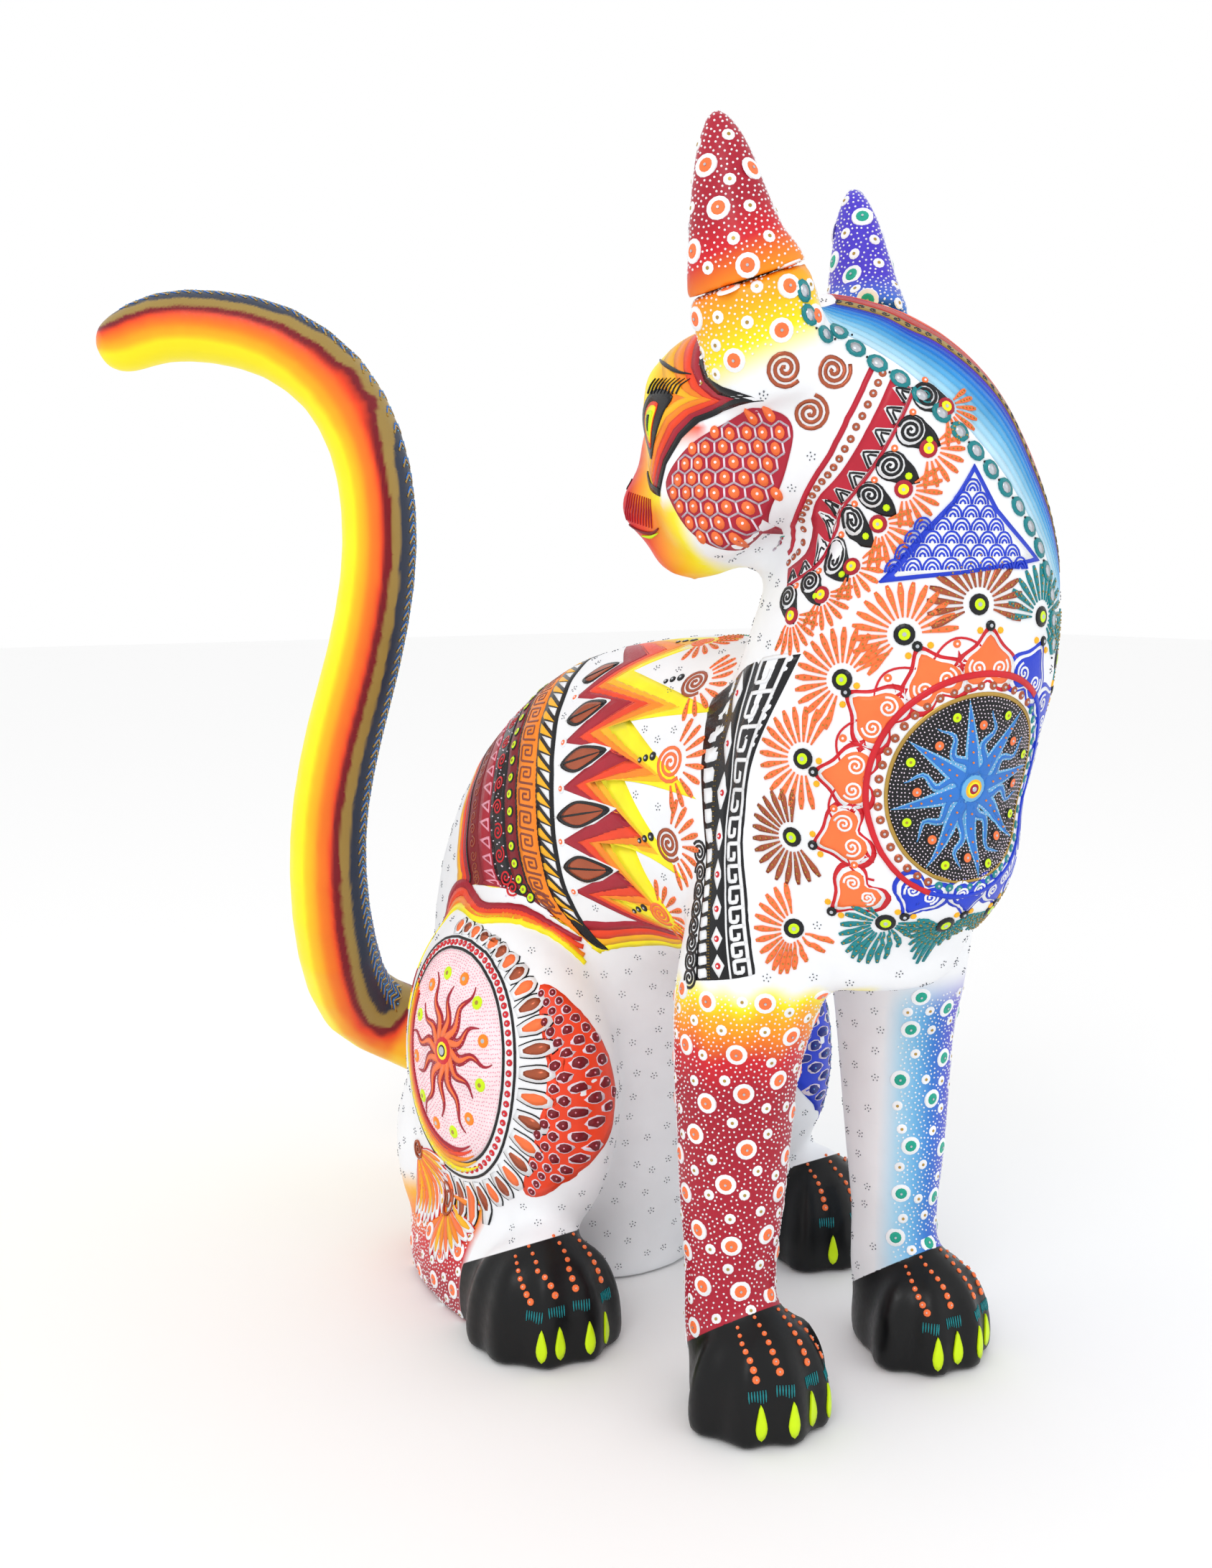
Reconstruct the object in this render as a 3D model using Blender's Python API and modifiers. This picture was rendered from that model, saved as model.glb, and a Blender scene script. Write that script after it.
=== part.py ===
"""Hand-carved, hand-painted copal-wood cat that sits and looks back over its right shoulder.

The carcass is glued up from six carved blocks on hidden dowels.  The two ears and the tail
stand on pegs in open sockets and pull out, so that the figure can be packed.

Frame: metres, +Z up, the cat's chest towards -Y, its left side towards +X, floor at z = 0.
The forms are laid out in millimetres from a point between the legs, in the middle plane of
the trunk; at the end all of it is moved so that the origin is the middle of the box's foot.
"""

import math

import bmesh
import bpy
from mathutils import Matrix, Vector

MM = 0.001

# ---- driving dimensions, in millimetres ------------------------------------------------------

# Trunk
SHOULDER_WIDTH = 104.0          # across the barrel behind the forelegs
RUMP_WIDTH = 122.0              # across the barrel at the hips
SEAT_WIDTH = 100.0              # across the flat patch that the cat sits on
BACK_HEIGHT = 267.0             # floor to the withers
BELLY_HEIGHT = 143.0            # floor to the underside between the legs
CHEST_REACH = 114.0             # chest ahead of the frame's origin
RUMP_REACH = 176.0              # rump behind the frame's origin

# Legs
FORELEG_SPREAD = 78.0           # between the forelegs' centre lines
FORELEG_Y = 72.0 - CHEST_REACH  # forelegs' centre lines, front to back
ELBOW_RADIUS = 24.5
ANKLE_RADIUS = 16.5
HIND_SPREAD = RUMP_WIDTH + 17.0     # between the hind paws' centres
THIGH_LENGTH = 124.0
THIGH_HEIGHT = 142.0
THIGH_THICKNESS = 66.0
FRONT_PAW_LENGTH = 59.0
PAW_LEAD = 12.0                 # front paws' centres ahead of the legs
FRONT_PAW_WIDTH = 47.0
FRONT_PAW_HEIGHT = 41.0
HIND_PAW_LENGTH = 60.0
HIND_PAW_WIDTH = 53.0
HIND_PAW_HEIGHT = 46.0
HIND_PAW_TURN = 32.0            # degrees outward
HIND_PAW_Y = RUMP_REACH - 142.0     # hind paws' centres, front to back

# Neck and head
NECK_RADIUS = 45.0              # half the width of the neck where it leaves the chest
HEAD_SIDEWAYS = -44.0           # head's centre from the middle plane
HEAD_SETBACK = 75.0             # head's centre behind the front of the chest
HEAD_RISE = 67.0                # head's centre above the withers
HEAD_TURN = 18.0                # degrees short of looking straight back
HEAD_ROLL = 4.0                 # degrees, left ear up
HEAD_HALF_WIDTH = 33.0
HEAD_HALF_HEIGHT = 38.0
MUZZLE_REACH = 40.0             # nose ahead of the head's centre

# Ears
EAR_WIDTH = 37.0                # at the foot, from its front edge to its rear edge
EAR_THICKNESS = 28.0
EAR_FAN = math.radians(25.0)    # the broad side turns outward from straight ahead
EAR_SPACING = 60.0              # between the ears' feet
EAR_TIP_SPACING = 88.0
EAR_TIP_HEIGHT = 90.0           # tip above the head's centre
EAR_SEAT_LIFT = 20.0            # ear joint above the foot of the ear

# Tail
TAIL_ROOT_HEIGHT = 64.0         # centre of its seat above the floor
TAIL_ROOT_SIDEWAYS = -10.0      # centre of its seat from the middle plane
TAIL_RISE = 330.0               # top of the S above the seat
TAIL_RADIUS = 16.5
TAIL_ROOT_RADIUS = 19.0
TAIL_TIP_RADIUS = 13.5
TAIL_SEAT_DEPTH = 4.0           # shallow recess that the root stands in
TAIL_AXIS = Vector((-0.42, 0.89, 0.18)).normalized()    # the way the tail pulls out

# Joinery
GLUE_GAP = 0.3                  # between neighbouring blocks
PEG_CLEARANCE = 0.3             # around a dowel or peg, on the radius
RECESS_CLEARANCE = 0.7          # around the tail's root, on the radius
SOCKET_SPARE = 1.0              # past the end of a dowel or peg
NECK_JOINT_HEIGHT = BACK_HEIGHT - 1.0
FORELEG_JOINT_HEIGHT = BELLY_HEIGHT - 19.0
HIND_JOINT_OFFSET = RUMP_WIDTH / 2.0 - 25.0     # glue face of a hind leg from the middle plane
HIND_JOINT_HEIGHT = THIGH_HEIGHT + 10.0         # upper glue face of a hind leg
HIND_JOINT_FRONT = FORELEG_Y + 34.0             # forward limit of the hind leg blocks
NECK_DOWEL_DIAMETER = 10.0
NECK_DOWEL_LENGTH = 48.0
NECK_DOWEL_SPACING = 40.0
NECK_DOWEL_Y = 42.0 - CHEST_REACH   # midway between the neck dowels
LEG_DOWEL_DIAMETER = 8.0
LEG_DOWEL_LENGTH = 36.0
FORELEG_DOWEL_SPACING = 18.0
HIND_DOWEL_SPACING = 44.0
HIND_DOWEL_HEIGHT = 74.0
EAR_PEG_DIAMETER = 8.0
EAR_PEG_LENGTH = 38.0           # half in the ear, half in the head
TAIL_PEG_DIAMETER = 14.0
TAIL_PEG_LENGTH = 70.0          # half in the tail, half in the rump

# Mesh fineness
FORM_VOXEL = 3.0
FINE_VOXEL = 2.2
CARCASS_TRIANGLES = 7800
TAIL_SIDES = 16
TAIL_STEPS = 2
ALL_ROUND = 400.0               # reach of the cutting boxes past the figure

# ---- colours ---------------------------------------------------------------------------------

PAINTED_WHITE = (0.88, 0.89, 0.90, 1.0)
PAINTED_RED = (0.42, 0.03, 0.05, 1.0)
PAINTED_BLUE = (0.05, 0.12, 0.55, 1.0)
PAINTED_ORANGE = (0.85, 0.28, 0.03, 1.0)
BARE_WOOD = (0.72, 0.56, 0.36, 1.0)

SIDES = ((-1, "right"), (1, "left"))


def clear_scene():
    for obj in list(bpy.data.objects):
        bpy.data.objects.remove(obj, do_unlink=True)


def collection(name):
    made = bpy.data.collections.new(name)
    bpy.context.scene.collection.children.link(made)
    return made


def finish_material(name, colour, roughness):
    """One opaque finish with its own colour and gloss."""
    material = bpy.data.materials.new(name)
    material.use_nodes = True
    shader = material.node_tree.nodes["Principled BSDF"]
    shader.inputs["Base Color"].default_value = colour
    shader.inputs["Roughness"].default_value = roughness
    shader.inputs["Metallic"].default_value = 0.0
    return material


def object_from(name, bm, group):
    """A new object that holds the bmesh, scaled from millimetres to metres."""
    bmesh.ops.recalc_face_normals(bm, faces=bm.faces)
    bmesh.ops.scale(bm, vec=(MM, MM, MM), verts=bm.verts)
    mesh = bpy.data.meshes.new(name)
    bm.to_mesh(mesh)
    bm.free()
    obj = bpy.data.objects.new(name, mesh)
    group.objects.link(obj)
    return obj


def evaluated_copy(obj, name, group):
    """A plain mesh object with the modifiers of obj applied."""
    graph = bpy.context.evaluated_depsgraph_get()
    graph.update()
    mesh = bpy.data.meshes.new_from_object(obj.evaluated_get(graph))
    made = bpy.data.objects.new(name, mesh)
    group.objects.link(made)
    return made


# ---- forms -----------------------------------------------------------------------------------

def spline_stations(stations, steps):
    """Smooth curve through stations (x, y, z, half width, half depth), steps to each span."""
    rows = [list(row) for row in stations]
    smooth = []
    last = len(rows) - 1
    for i in range(last):
        before, here = rows[max(i - 1, 0)], rows[i]
        after, beyond = rows[i + 1], rows[min(i + 2, last)]
        for k in range(steps):
            t = k / steps
            row = []
            for a, b, c, d in zip(before, here, after, beyond):
                cubic = (3.0 * b - a - 3.0 * c + d) * t ** 3
                square = (2.0 * a - 5.0 * b + 4.0 * c - d) * t ** 2
                row.append(0.5 * (2.0 * b + (c - a) * t + square + cubic))
            smooth.append(row)
    smooth.append(rows[last])
    return smooth


def sweep(name, stations, side_hint, group, steps=4, sides=20):
    """Closed body swept along smoothed stations; side_hint fixes which way its width lies."""
    rows = spline_stations(stations, steps)
    centres = [Vector(row[:3]) for row in rows]
    bm = bmesh.new()
    rings = []
    for i, row in enumerate(rows):
        ahead = centres[min(i + 1, len(rows) - 1)] - centres[max(i - 1, 0)]
        ahead.normalize()
        side = (side_hint - ahead * side_hint.dot(ahead)).normalized()
        rise = ahead.cross(side)
        ring = []
        for k in range(sides):
            turn = 2.0 * math.pi * k / sides
            offset = side * (row[3] * math.cos(turn)) + rise * (row[4] * math.sin(turn))
            ring.append(bm.verts.new(centres[i] + offset))
        rings.append(ring)
    for lower, upper in zip(rings, rings[1:]):
        for k in range(sides):
            n = (k + 1) % sides
            bm.faces.new((lower[k], lower[n], upper[n], upper[k]))
    for ring, step_out in ((rings[0], centres[0] - centres[1]), (rings[-1], centres[-1] - centres[-2])):
        middle = sum((v.co for v in ring), Vector()) / sides
        pole = bm.verts.new(middle + step_out.normalized() * 0.001)
        for k in range(sides):
            bm.faces.new((ring[k], ring[(k + 1) % sides], pole))
    return object_from(name, bm, group)


def ellipsoid(name, centre, radii, group, axes=None):
    """Ellipsoid whose radii lie along the columns of axes."""
    bm = bmesh.new()
    bmesh.ops.create_uvsphere(bm, u_segments=28, v_segments=18, radius=1.0)
    bmesh.ops.scale(bm, vec=radii, verts=bm.verts)
    if axes is not None:
        bmesh.ops.rotate(bm, cent=(0, 0, 0), matrix=axes, verts=bm.verts)
    bmesh.ops.translate(bm, vec=centre, verts=bm.verts)
    return object_from(name, bm, group)


def box(name, low, high, group):
    bm = bmesh.new()
    bmesh.ops.create_cube(bm, size=1.0)
    size = Vector(high) - Vector(low)
    bmesh.ops.scale(bm, vec=size, verts=bm.verts)
    bmesh.ops.translate(bm, vec=(Vector(high) + Vector(low)) / 2.0, verts=bm.verts)
    return object_from(name, bm, group)


def axis_matrix(axis):
    """Rotation that takes +Z to axis."""
    return Vector((0, 0, 1)).rotation_difference(Vector(axis)).to_matrix()


def cylinder(name, start, axis, length, radius, group, sides=20, chamfer=0.0):
    """Round bar from start along axis, with an optional chamfer at both ends."""
    bm = bmesh.new()
    bmesh.ops.create_cone(bm, cap_ends=True, segments=sides, radius1=radius, radius2=radius, depth=length)
    if chamfer > 0.0:
        rims = [e for e in bm.edges if abs(e.verts[0].co.z - e.verts[1].co.z) < length / 4.0]
        bmesh.ops.bevel(bm, geom=rims, offset=chamfer, segments=1, profile=0.5, affect="EDGES", material=-1)
    bmesh.ops.translate(bm, vec=(0, 0, length / 2.0), verts=bm.verts)
    bmesh.ops.rotate(bm, cent=(0, 0, 0), matrix=axis_matrix(axis), verts=bm.verts)
    bmesh.ops.translate(bm, vec=Vector(start), verts=bm.verts)
    return object_from(name, bm, group)


def fuse(name, shapes, voxel, smoothing, group):
    """One smooth closed skin round overlapping shapes, which are removed."""
    bm = bmesh.new()
    for shape in shapes:
        bm.from_mesh(shape.data)
        bpy.data.objects.remove(shape, do_unlink=True)
    mesh = bpy.data.meshes.new(name)
    bm.to_mesh(mesh)
    bm.free()
    joined = bpy.data.objects.new(name + ".rough", mesh)
    group.objects.link(joined)
    remesh = joined.modifiers.new("Remesh", "REMESH")
    remesh.mode = "VOXEL"
    remesh.voxel_size = voxel * MM
    smooth = joined.modifiers.new("Smooth", "SMOOTH")
    smooth.factor = 0.5
    smooth.iterations = smoothing
    skin = evaluated_copy(joined, name, group)
    bpy.data.objects.remove(joined, do_unlink=True)
    return skin


def boolean(obj, cutter, operation):
    modifier = obj.modifiers.new(operation.title(), "BOOLEAN")
    modifier.operation = operation
    modifier.object = cutter
    modifier.solver = "EXACT"


def hide_guides(group):
    for obj in group.objects:
        obj.hide_render = True
        obj.display_type = "WIRE"


# ---- the cat's directions --------------------------------------------------------------------

def head_axes():
    """Unit vectors of the head: the way it faces, its own left, and its own up."""
    turn, roll = math.radians(HEAD_TURN), math.radians(HEAD_ROLL)
    face = Vector((-math.sin(turn), math.cos(turn), 0.0))
    level = Vector((0, 0, 1)).cross(face)
    left = level * math.cos(roll) + Vector((0, 0, math.sin(roll)))
    return face, left, face.cross(left)


def head_centre():
    return Vector((HEAD_SIDEWAYS, HEAD_SETBACK - CHEST_REACH, BACK_HEIGHT + HEAD_RISE))


def head_point(ahead, left_of, above):
    """Place given from the head's centre, along the head's own directions."""
    face, left, up = head_axes()
    return head_centre() + face * ahead + left * left_of + up * above


def head_matrix():
    """Columns: the head's left, the way it faces reversed, up."""
    face, left, up = head_axes()
    return Matrix((left, -face, up)).transposed()


# ---- trunk, legs, head -----------------------------------------------------------------------

def trunk(group):
    seat, shoulder, rump = SEAT_WIDTH / 2.0, SHOULDER_WIDTH / 2.0, RUMP_WIDTH / 2.0
    mid = (BACK_HEIGHT + BELLY_HEIGHT) / 2.0
    deep = (BACK_HEIGHT - BELLY_HEIGHT) / 2.0
    back = RUMP_REACH
    stations = [
        (0, back - 70, -14, seat * 0.95, 52),
        (0, back - 70, 0, seat, 55),
        (0, back - 70, 40, rump * 0.97, 63),
        (0, back - 69, 90, rump, 73),
        (0, back - 77, mid - 57, rump * 0.99, 81),
        (0, back - 110, mid - 19, rump * 0.92, deep + 13),
        (0, 134 - CHEST_REACH, mid - 2, shoulder * 1.02, deep + 3),
        (0, 84 - CHEST_REACH, mid, shoulder * 0.98, deep),
        (0, 46 - CHEST_REACH, mid + 4, shoulder * 0.92, deep * 0.88),
        (0, 20 - CHEST_REACH, mid + 9, shoulder * 0.76, deep * 0.68),
        (0, 4 - CHEST_REACH, mid + 14, shoulder * 0.40, deep * 0.36),
    ]
    return sweep("trunk_form", stations, Vector((1, 0, 0)), group)


def neck(group):
    """From deep in the chest, over the nape, into the back of the skull."""
    r = NECK_RADIUS
    front = -CHEST_REACH
    low = BACK_HEIGHT
    stations = [
        (-2, front + 60, low - 112, r * 0.84, r * 0.84),
        (-1, front + 57, low - 87, r * 1.02, r * 0.98),
        (0, front + 52, low - 60, r * 1.12, r * 1.08),
        (0, front + 48, low - 37, r * 1.19, r * 1.15),
        (2, front + 43, low - 17, r * 1.17, r * 1.13),
        (4, front + 39, low + 1, r * 1.15, r * 1.11),
        (5, front + 36, low + 18, r * 1.10, r * 1.05),
        (3.5, front + 34, low + 35, r * 1.00, r * 0.97),
        (-2, front + 32, low + 49, r * 0.91, r * 0.88),
        (-10, front + 31.5, low + 62, r * 0.82, r * 0.82),
        (-21, front + 37, low + 72, r * 0.77, r * 0.79),
        (-31, front + 49, low + 75, r * 0.74, r * 0.82),
        (-38, front + 62, low + 74, r * 0.70, r * 0.80),
    ]
    return sweep("neck_form", stations, Vector((1, 0.2, 0)), group)


def head(group):
    """Skull, brow, cheeks, muzzle, nose and chin, fused later."""
    w, h, reach = HEAD_HALF_WIDTH, HEAD_HALF_HEIGHT, MUZZLE_REACH
    axes = head_matrix()
    shapes = [
        ("skull", (-8, 0, 4), (w, 34, h - 4)),
        ("forehead", (6, 0, 14), (w * 0.72, 19, 22)),
        ("bridge", (reach - 22, 0, -2), (11, 16, 14)),
        ("muzzle", (reach - 22, 0, -20), (16, 20.5, 15)),
        ("chin", (10, 0, -36), (13, 17, 10.5)),
    ]
    for side, word in ((1, "left"), (-1, "right")):
        shapes += [
            ("cheek_" + word, (-6, side * 13, -14), (18, 24, 27)),
            ("brow_" + word, (14, side * 15, 17), (10, 9, 6.5)),
            ("eye_" + word, (15.5, side * 16.5, 6), (7.5, 7.5, 8.5)),
            ("whisker_pad_" + word, (reach - 21, side * 7.5, -22), (9.5, 18, 11)),
        ]
    made = []
    for name, place, radii in shapes:
        made.append(ellipsoid(name, head_point(*place), radii, group, axes))
    return made


def paw(name, centre, turn, length, width, height, group):
    """Pad, wrist and five toes, turned about the vertical; its sole is cut flat later."""
    spin = Matrix.Rotation(math.radians(turn), 3, "Z")
    shapes = []
    pad = (width * 0.44, length * 0.44, height * 0.80)
    shapes.append(ellipsoid(name + "_pad", centre + Vector((0, 0, height * 0.20)), pad, group, spin))
    toe = (width * 0.20, length * 0.25, height * 0.70)
    for angle in (-78.0, -39.0, 0.0, 39.0, 78.0):
        swing = math.radians(angle)
        across = math.sin(swing) * (width / 2.0 - toe[0])
        along = -math.cos(swing) * (length / 2.0 - toe[1])
        place = centre + spin @ Vector((across, along, height * 0.14))
        toe_axes = Matrix.Rotation(math.radians(turn + angle), 3, "Z")
        shapes.append(ellipsoid("%s_toe_%d" % (name, angle), place, toe, group, toe_axes))
    return shapes


def front_paw_centre(side):
    return Vector((side * (FORELEG_SPREAD / 2.0 + 2.0), FORELEG_Y - PAW_LEAD, 0.0))


def hind_paw_centre(side):
    return Vector((side * HIND_SPREAD / 2.0, HIND_PAW_Y, 0.0))


def foreleg(side, group):
    x = side * FORELEG_SPREAD / 2.0
    y = FORELEG_Y
    elbow, ankle = ELBOW_RADIUS, ANKLE_RADIUS
    stations = [
        (x * 0.62, y - 12, BACK_HEIGHT - 47, elbow * 1.02, elbow * 1.25),
        (x * 0.78, y - 8, BACK_HEIGHT - 87, elbow * 1.04, elbow * 1.24),
        (x * 0.94, y - 3, BACK_HEIGHT - 117, elbow * 1.0, elbow * 1.10),
        (x, y, FORELEG_JOINT_HEIGHT, elbow * 0.92, elbow * 0.92),
        (x * 1.02, y, 100, (elbow + ankle) / 2.0, (elbow + ankle) / 2.0),
        (x * 1.04, y, 76, ankle * 1.15, ankle * 1.15),
        (x * 1.05, y, 50, ankle, ankle),
        (x * 1.05, y, 26, ankle, ankle),
        (x * 1.05, y, 8, ankle * 0.8, ankle * 0.8),
    ]
    return sweep("foreleg_form", stations, Vector((1, 0, 0)), group)


def hind_leg(side, group):
    """Thigh, and the foot from heel to paw."""
    thick, long, tall = THIGH_THICKNESS / 2.0, THIGH_LENGTH / 2.0, THIGH_HEIGHT / 2.0
    x = side * (RUMP_WIDTH / 2.0 - 5.0)
    tilt = Matrix.Rotation(math.radians(-6.0), 3, "X")
    thigh = ellipsoid("thigh_form", (x, RUMP_REACH - 97, tall + 20), (thick, long, tall), group, tilt)
    paw_at = hind_paw_centre(side)
    heel = side * (RUMP_WIDTH / 2.0 - 1.0)
    foot = [
        (heel, RUMP_REACH - 56, 10, 16, 26),
        (heel + side * 2, RUMP_REACH - 64, 10, 21, 31),
        (heel + side * 5, RUMP_REACH - 90, 12, 25, 34),
        (paw_at.x * 0.97, paw_at.y + 24, 12, 24, 32),
        (paw_at.x, paw_at.y + 4, 12, 22, 26),
    ]
    hock = ellipsoid("hock_form", (heel - side * 2, RUMP_REACH - 60, 50), (24, 34, 46), group)
    return [thigh, hock, sweep("foot_form", foot, Vector((1, 0, 0)), group)]


# ---- ears ------------------------------------------------------------------------------------

def ear_line(side):
    """Foot, middle and tip of an ear's centre line; side +1 is the cat's left."""
    foot = head_point(-31.0, side * EAR_SPACING / 2.0, 22.0)
    half_way = EAR_SPACING * 0.25 + EAR_TIP_SPACING * 0.30
    middle = head_point(-25.5, side * half_way, EAR_TIP_HEIGHT * 0.58)
    tip = head_point(-18.5, side * EAR_TIP_SPACING / 2.0, EAR_TIP_HEIGHT)
    return foot, middle, tip


def ear_axis(side):
    foot, middle, _ = ear_line(side)
    return (middle - foot).normalized()


def ear_seat(side):
    """Centre of the flat joint between an ear and the head."""
    return ear_line(side)[0] + ear_axis(side) * EAR_SEAT_LIFT


def ear(side, group):
    foot, middle, tip = ear_line(side)
    axis = ear_axis(side)
    r = EAR_WIDTH / 2.0
    root = foot - axis * 16.0
    seat = foot + axis * EAR_SEAT_LIFT
    near_tip = middle.lerp(tip, 0.62)
    thin = EAR_THICKNESS / EAR_WIDTH
    stations = [
        (*root, r * 0.95, r * 0.95 * thin),
        (*foot, r * 1.05, r * 0.98 * thin),
        (*seat, r * 1.02, r * 0.96 * thin),
        (*middle, r * 0.78, r * 0.78 * thin),
        (*near_tip, r * 0.48, r * 0.50 * thin),
        (*middle.lerp(tip, 0.9), r * 0.24, r * 0.30 * thin),
        (*tip, r * 0.09, r * 0.10 * thin),
    ]
    face, left, _ = head_axes()
    broad = face * math.cos(EAR_FAN) + left * side * math.sin(EAR_FAN)
    whole = sweep("ear_form", stations, broad, group)
    boolean(whole, ear_hollow(side, group), "DIFFERENCE")
    hollowed = evaluated_copy(whole, "ear_form_hollow", group)
    bpy.data.objects.remove(whole, do_unlink=True)
    return hollowed


def ear_hollow(side, group):
    """Scoop in the front of an ear, above its joint."""
    face, left, _ = head_axes()
    foot, middle, tip = ear_line(side)
    axis = (tip - foot).normalized()
    lift = EAR_SEAT_LIFT + 22.0
    place = foot + axis * lift + face * (EAR_WIDTH * 0.50) - left * (side * EAR_THICKNESS * 0.12)
    radii = (EAR_THICKNESS * 0.27, EAR_WIDTH * 0.28, 19.0)
    turn = axis_matrix(axis) @ head_matrix()
    return ellipsoid("ear_hollow_form", place, radii, group, turn)


# ---- tail ------------------------------------------------------------------------------------

def tail_root():
    """Centre of the tail's seat, a little inside the rump."""
    return Vector((TAIL_ROOT_SIDEWAYS, RUMP_REACH + 3.0 - TAIL_SEAT_DEPTH, TAIL_ROOT_HEIGHT))


def tail(group):
    """The S of the tail, from its flat root to its rounded tip."""
    r, thick, thin, rise = TAIL_RADIUS, TAIL_ROOT_RADIUS, TAIL_TIP_RADIUS, TAIL_RISE
    root = tail_root() + TAIL_AXIS * GLUE_GAP
    stations = [(*root, thick, thick), (*(root + TAIL_AXIS * 14.0), thick, thick)]
    for across, back, up, radius in (
        (-24, 34, rise * 0.037, thick * 0.99),
        (-46, 36, rise * 0.082, thick * 0.97),
        (-64, 20, rise * 0.176, r * 1.08),
        (-72, 11, rise * 0.285, r * 1.02),
        (-70.5, 9.5, rise * 0.382, r),
        (-64.5, 6.5, rise * 0.479, r),
        (-57.5, 1, rise * 0.576, r * 0.98),
        (-52, -2.5, rise * 0.676, r * 0.97),
        (-51, -3, rise * 0.770, r * 0.97),
        (-55, 0, rise * 0.855, r * 0.97),
        (-66, 7.5, rise * 0.929, r * 0.97),
        (-84.5, 21, rise * 0.980, r * 0.95),
        (-106, 36.5, rise * 1.000, r * 0.91),
        (-124, 49.5, rise * 0.999, thin * 1.06),
        (-137, 59, rise * 0.981, thin * 0.94),
        (-142.5, 63, rise * 0.970, thin * 0.72),
        (-145, 65, rise * 0.965, thin * 0.36),
    ):
        stations.append((*(tail_root() + Vector((across, back, up))), radius, radius))
    return sweep("tail_form", stations, Vector((0.7, 0.7, 0.1)), group, steps=TAIL_STEPS, sides=TAIL_SIDES)


# ---- joinery ---------------------------------------------------------------------------------

def dowel(name, middle, axis, diameter, length, group):
    """Bar centred on middle, with chamfered ends."""
    start = Vector(middle) - Vector(axis) * (length / 2.0)
    return cylinder(name, start, axis, length, diameter / 2.0, group, sides=12, chamfer=diameter * 0.08)


def dowel_hole(middle, axis, diameter, length, group):
    """The hole that a dowel lies in, clear of it all round and at both ends."""
    long = length + 2.0 * SOCKET_SPARE
    start = Vector(middle) - Vector(axis) * (long / 2.0)
    return cylinder("hole", start, axis, long, diameter / 2.0 + PEG_CLEARANCE, group, sides=12)


def neck_dowels():
    for k, word in ((-0.5, "front"), (0.5, "rear")):
        middle = Vector((4.0, NECK_DOWEL_Y + k * NECK_DOWEL_SPACING, NECK_JOINT_HEIGHT))
        yield "neck_dowel_" + word, middle, Vector((0, 0, 1)), NECK_DOWEL_DIAMETER, NECK_DOWEL_LENGTH


def foreleg_dowels(side, word):
    for k, place in ((-0.5, "front"), (0.5, "rear")):
        y = FORELEG_Y + k * FORELEG_DOWEL_SPACING
        middle = Vector((side * FORELEG_SPREAD / 2.0, y, FORELEG_JOINT_HEIGHT))
        name = "foreleg_dowel_%s_%s" % (word, place)
        yield name, middle, Vector((0, 0, 1)), LEG_DOWEL_DIAMETER, LEG_DOWEL_LENGTH


def hind_dowels(side, word):
    for k, place in ((-0.5, "front"), (0.5, "rear")):
        y = RUMP_REACH - 98.0 + k * HIND_DOWEL_SPACING
        middle = Vector((side * HIND_JOINT_OFFSET, y, HIND_DOWEL_HEIGHT))
        name = "hind_leg_dowel_%s_%s" % (word, place)
        yield name, middle, Vector((1, 0, 0)), LEG_DOWEL_DIAMETER, LEG_DOWEL_LENGTH


def carcass_form(group):
    """The whole carved body with its ears, as one fine skin, before it is sawn into blocks."""
    rough = [trunk(group), neck(group)]
    for side, _ in SIDES:
        rough.append(foreleg(side, group))
        rough += hind_leg(side, group)
    rough += head(group)
    body = fuse("body_form", rough, FORM_VOXEL, 10, group)
    fine = [body]
    for side, _ in SIDES:
        fine += paw("front_paw", front_paw_centre(side), side * 8.0,
                    FRONT_PAW_LENGTH, FRONT_PAW_WIDTH, FRONT_PAW_HEIGHT, group)
        fine += paw("hind_paw", hind_paw_centre(side), side * HIND_PAW_TURN,
                    HIND_PAW_LENGTH, HIND_PAW_WIDTH, HIND_PAW_HEIGHT, group)
        fine.append(ear(side, group))
    skin = fuse("carcass_form", fine, FINE_VOXEL, 3, group)
    thin = skin.modifiers.new("Decimate", "DECIMATE")
    thin.ratio = 1.0
    graph = bpy.context.evaluated_depsgraph_get()
    graph.update()
    triangles = sum(len(p.vertices) - 2 for p in skin.evaluated_get(graph).data.polygons)
    thin.ratio = min(1.0, CARCASS_TRIANGLES / triangles)
    form = evaluated_copy(skin, "carcass_form_thin", group)
    bpy.data.objects.remove(skin, do_unlink=True)
    return form


def take_block(name, form, cutters, group):
    """A copy of the carved form with a list of (operation, cutter) applied."""
    block = bpy.data.objects.new(name, form.data.copy())
    group.objects.link(block)
    for operation, cutter in cutters:
        boolean(block, cutter, operation)
    return block


def ear_box(side, lift, group):
    """Everything beyond an ear's joint plane, raised by lift along the ear's axis."""
    axis = ear_axis(side)
    start = ear_seat(side) + axis * lift
    return cylinder("ear_block", start, axis, ALL_ROUND / 3.0, EAR_WIDTH * 0.68, group, sides=24)


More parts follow.
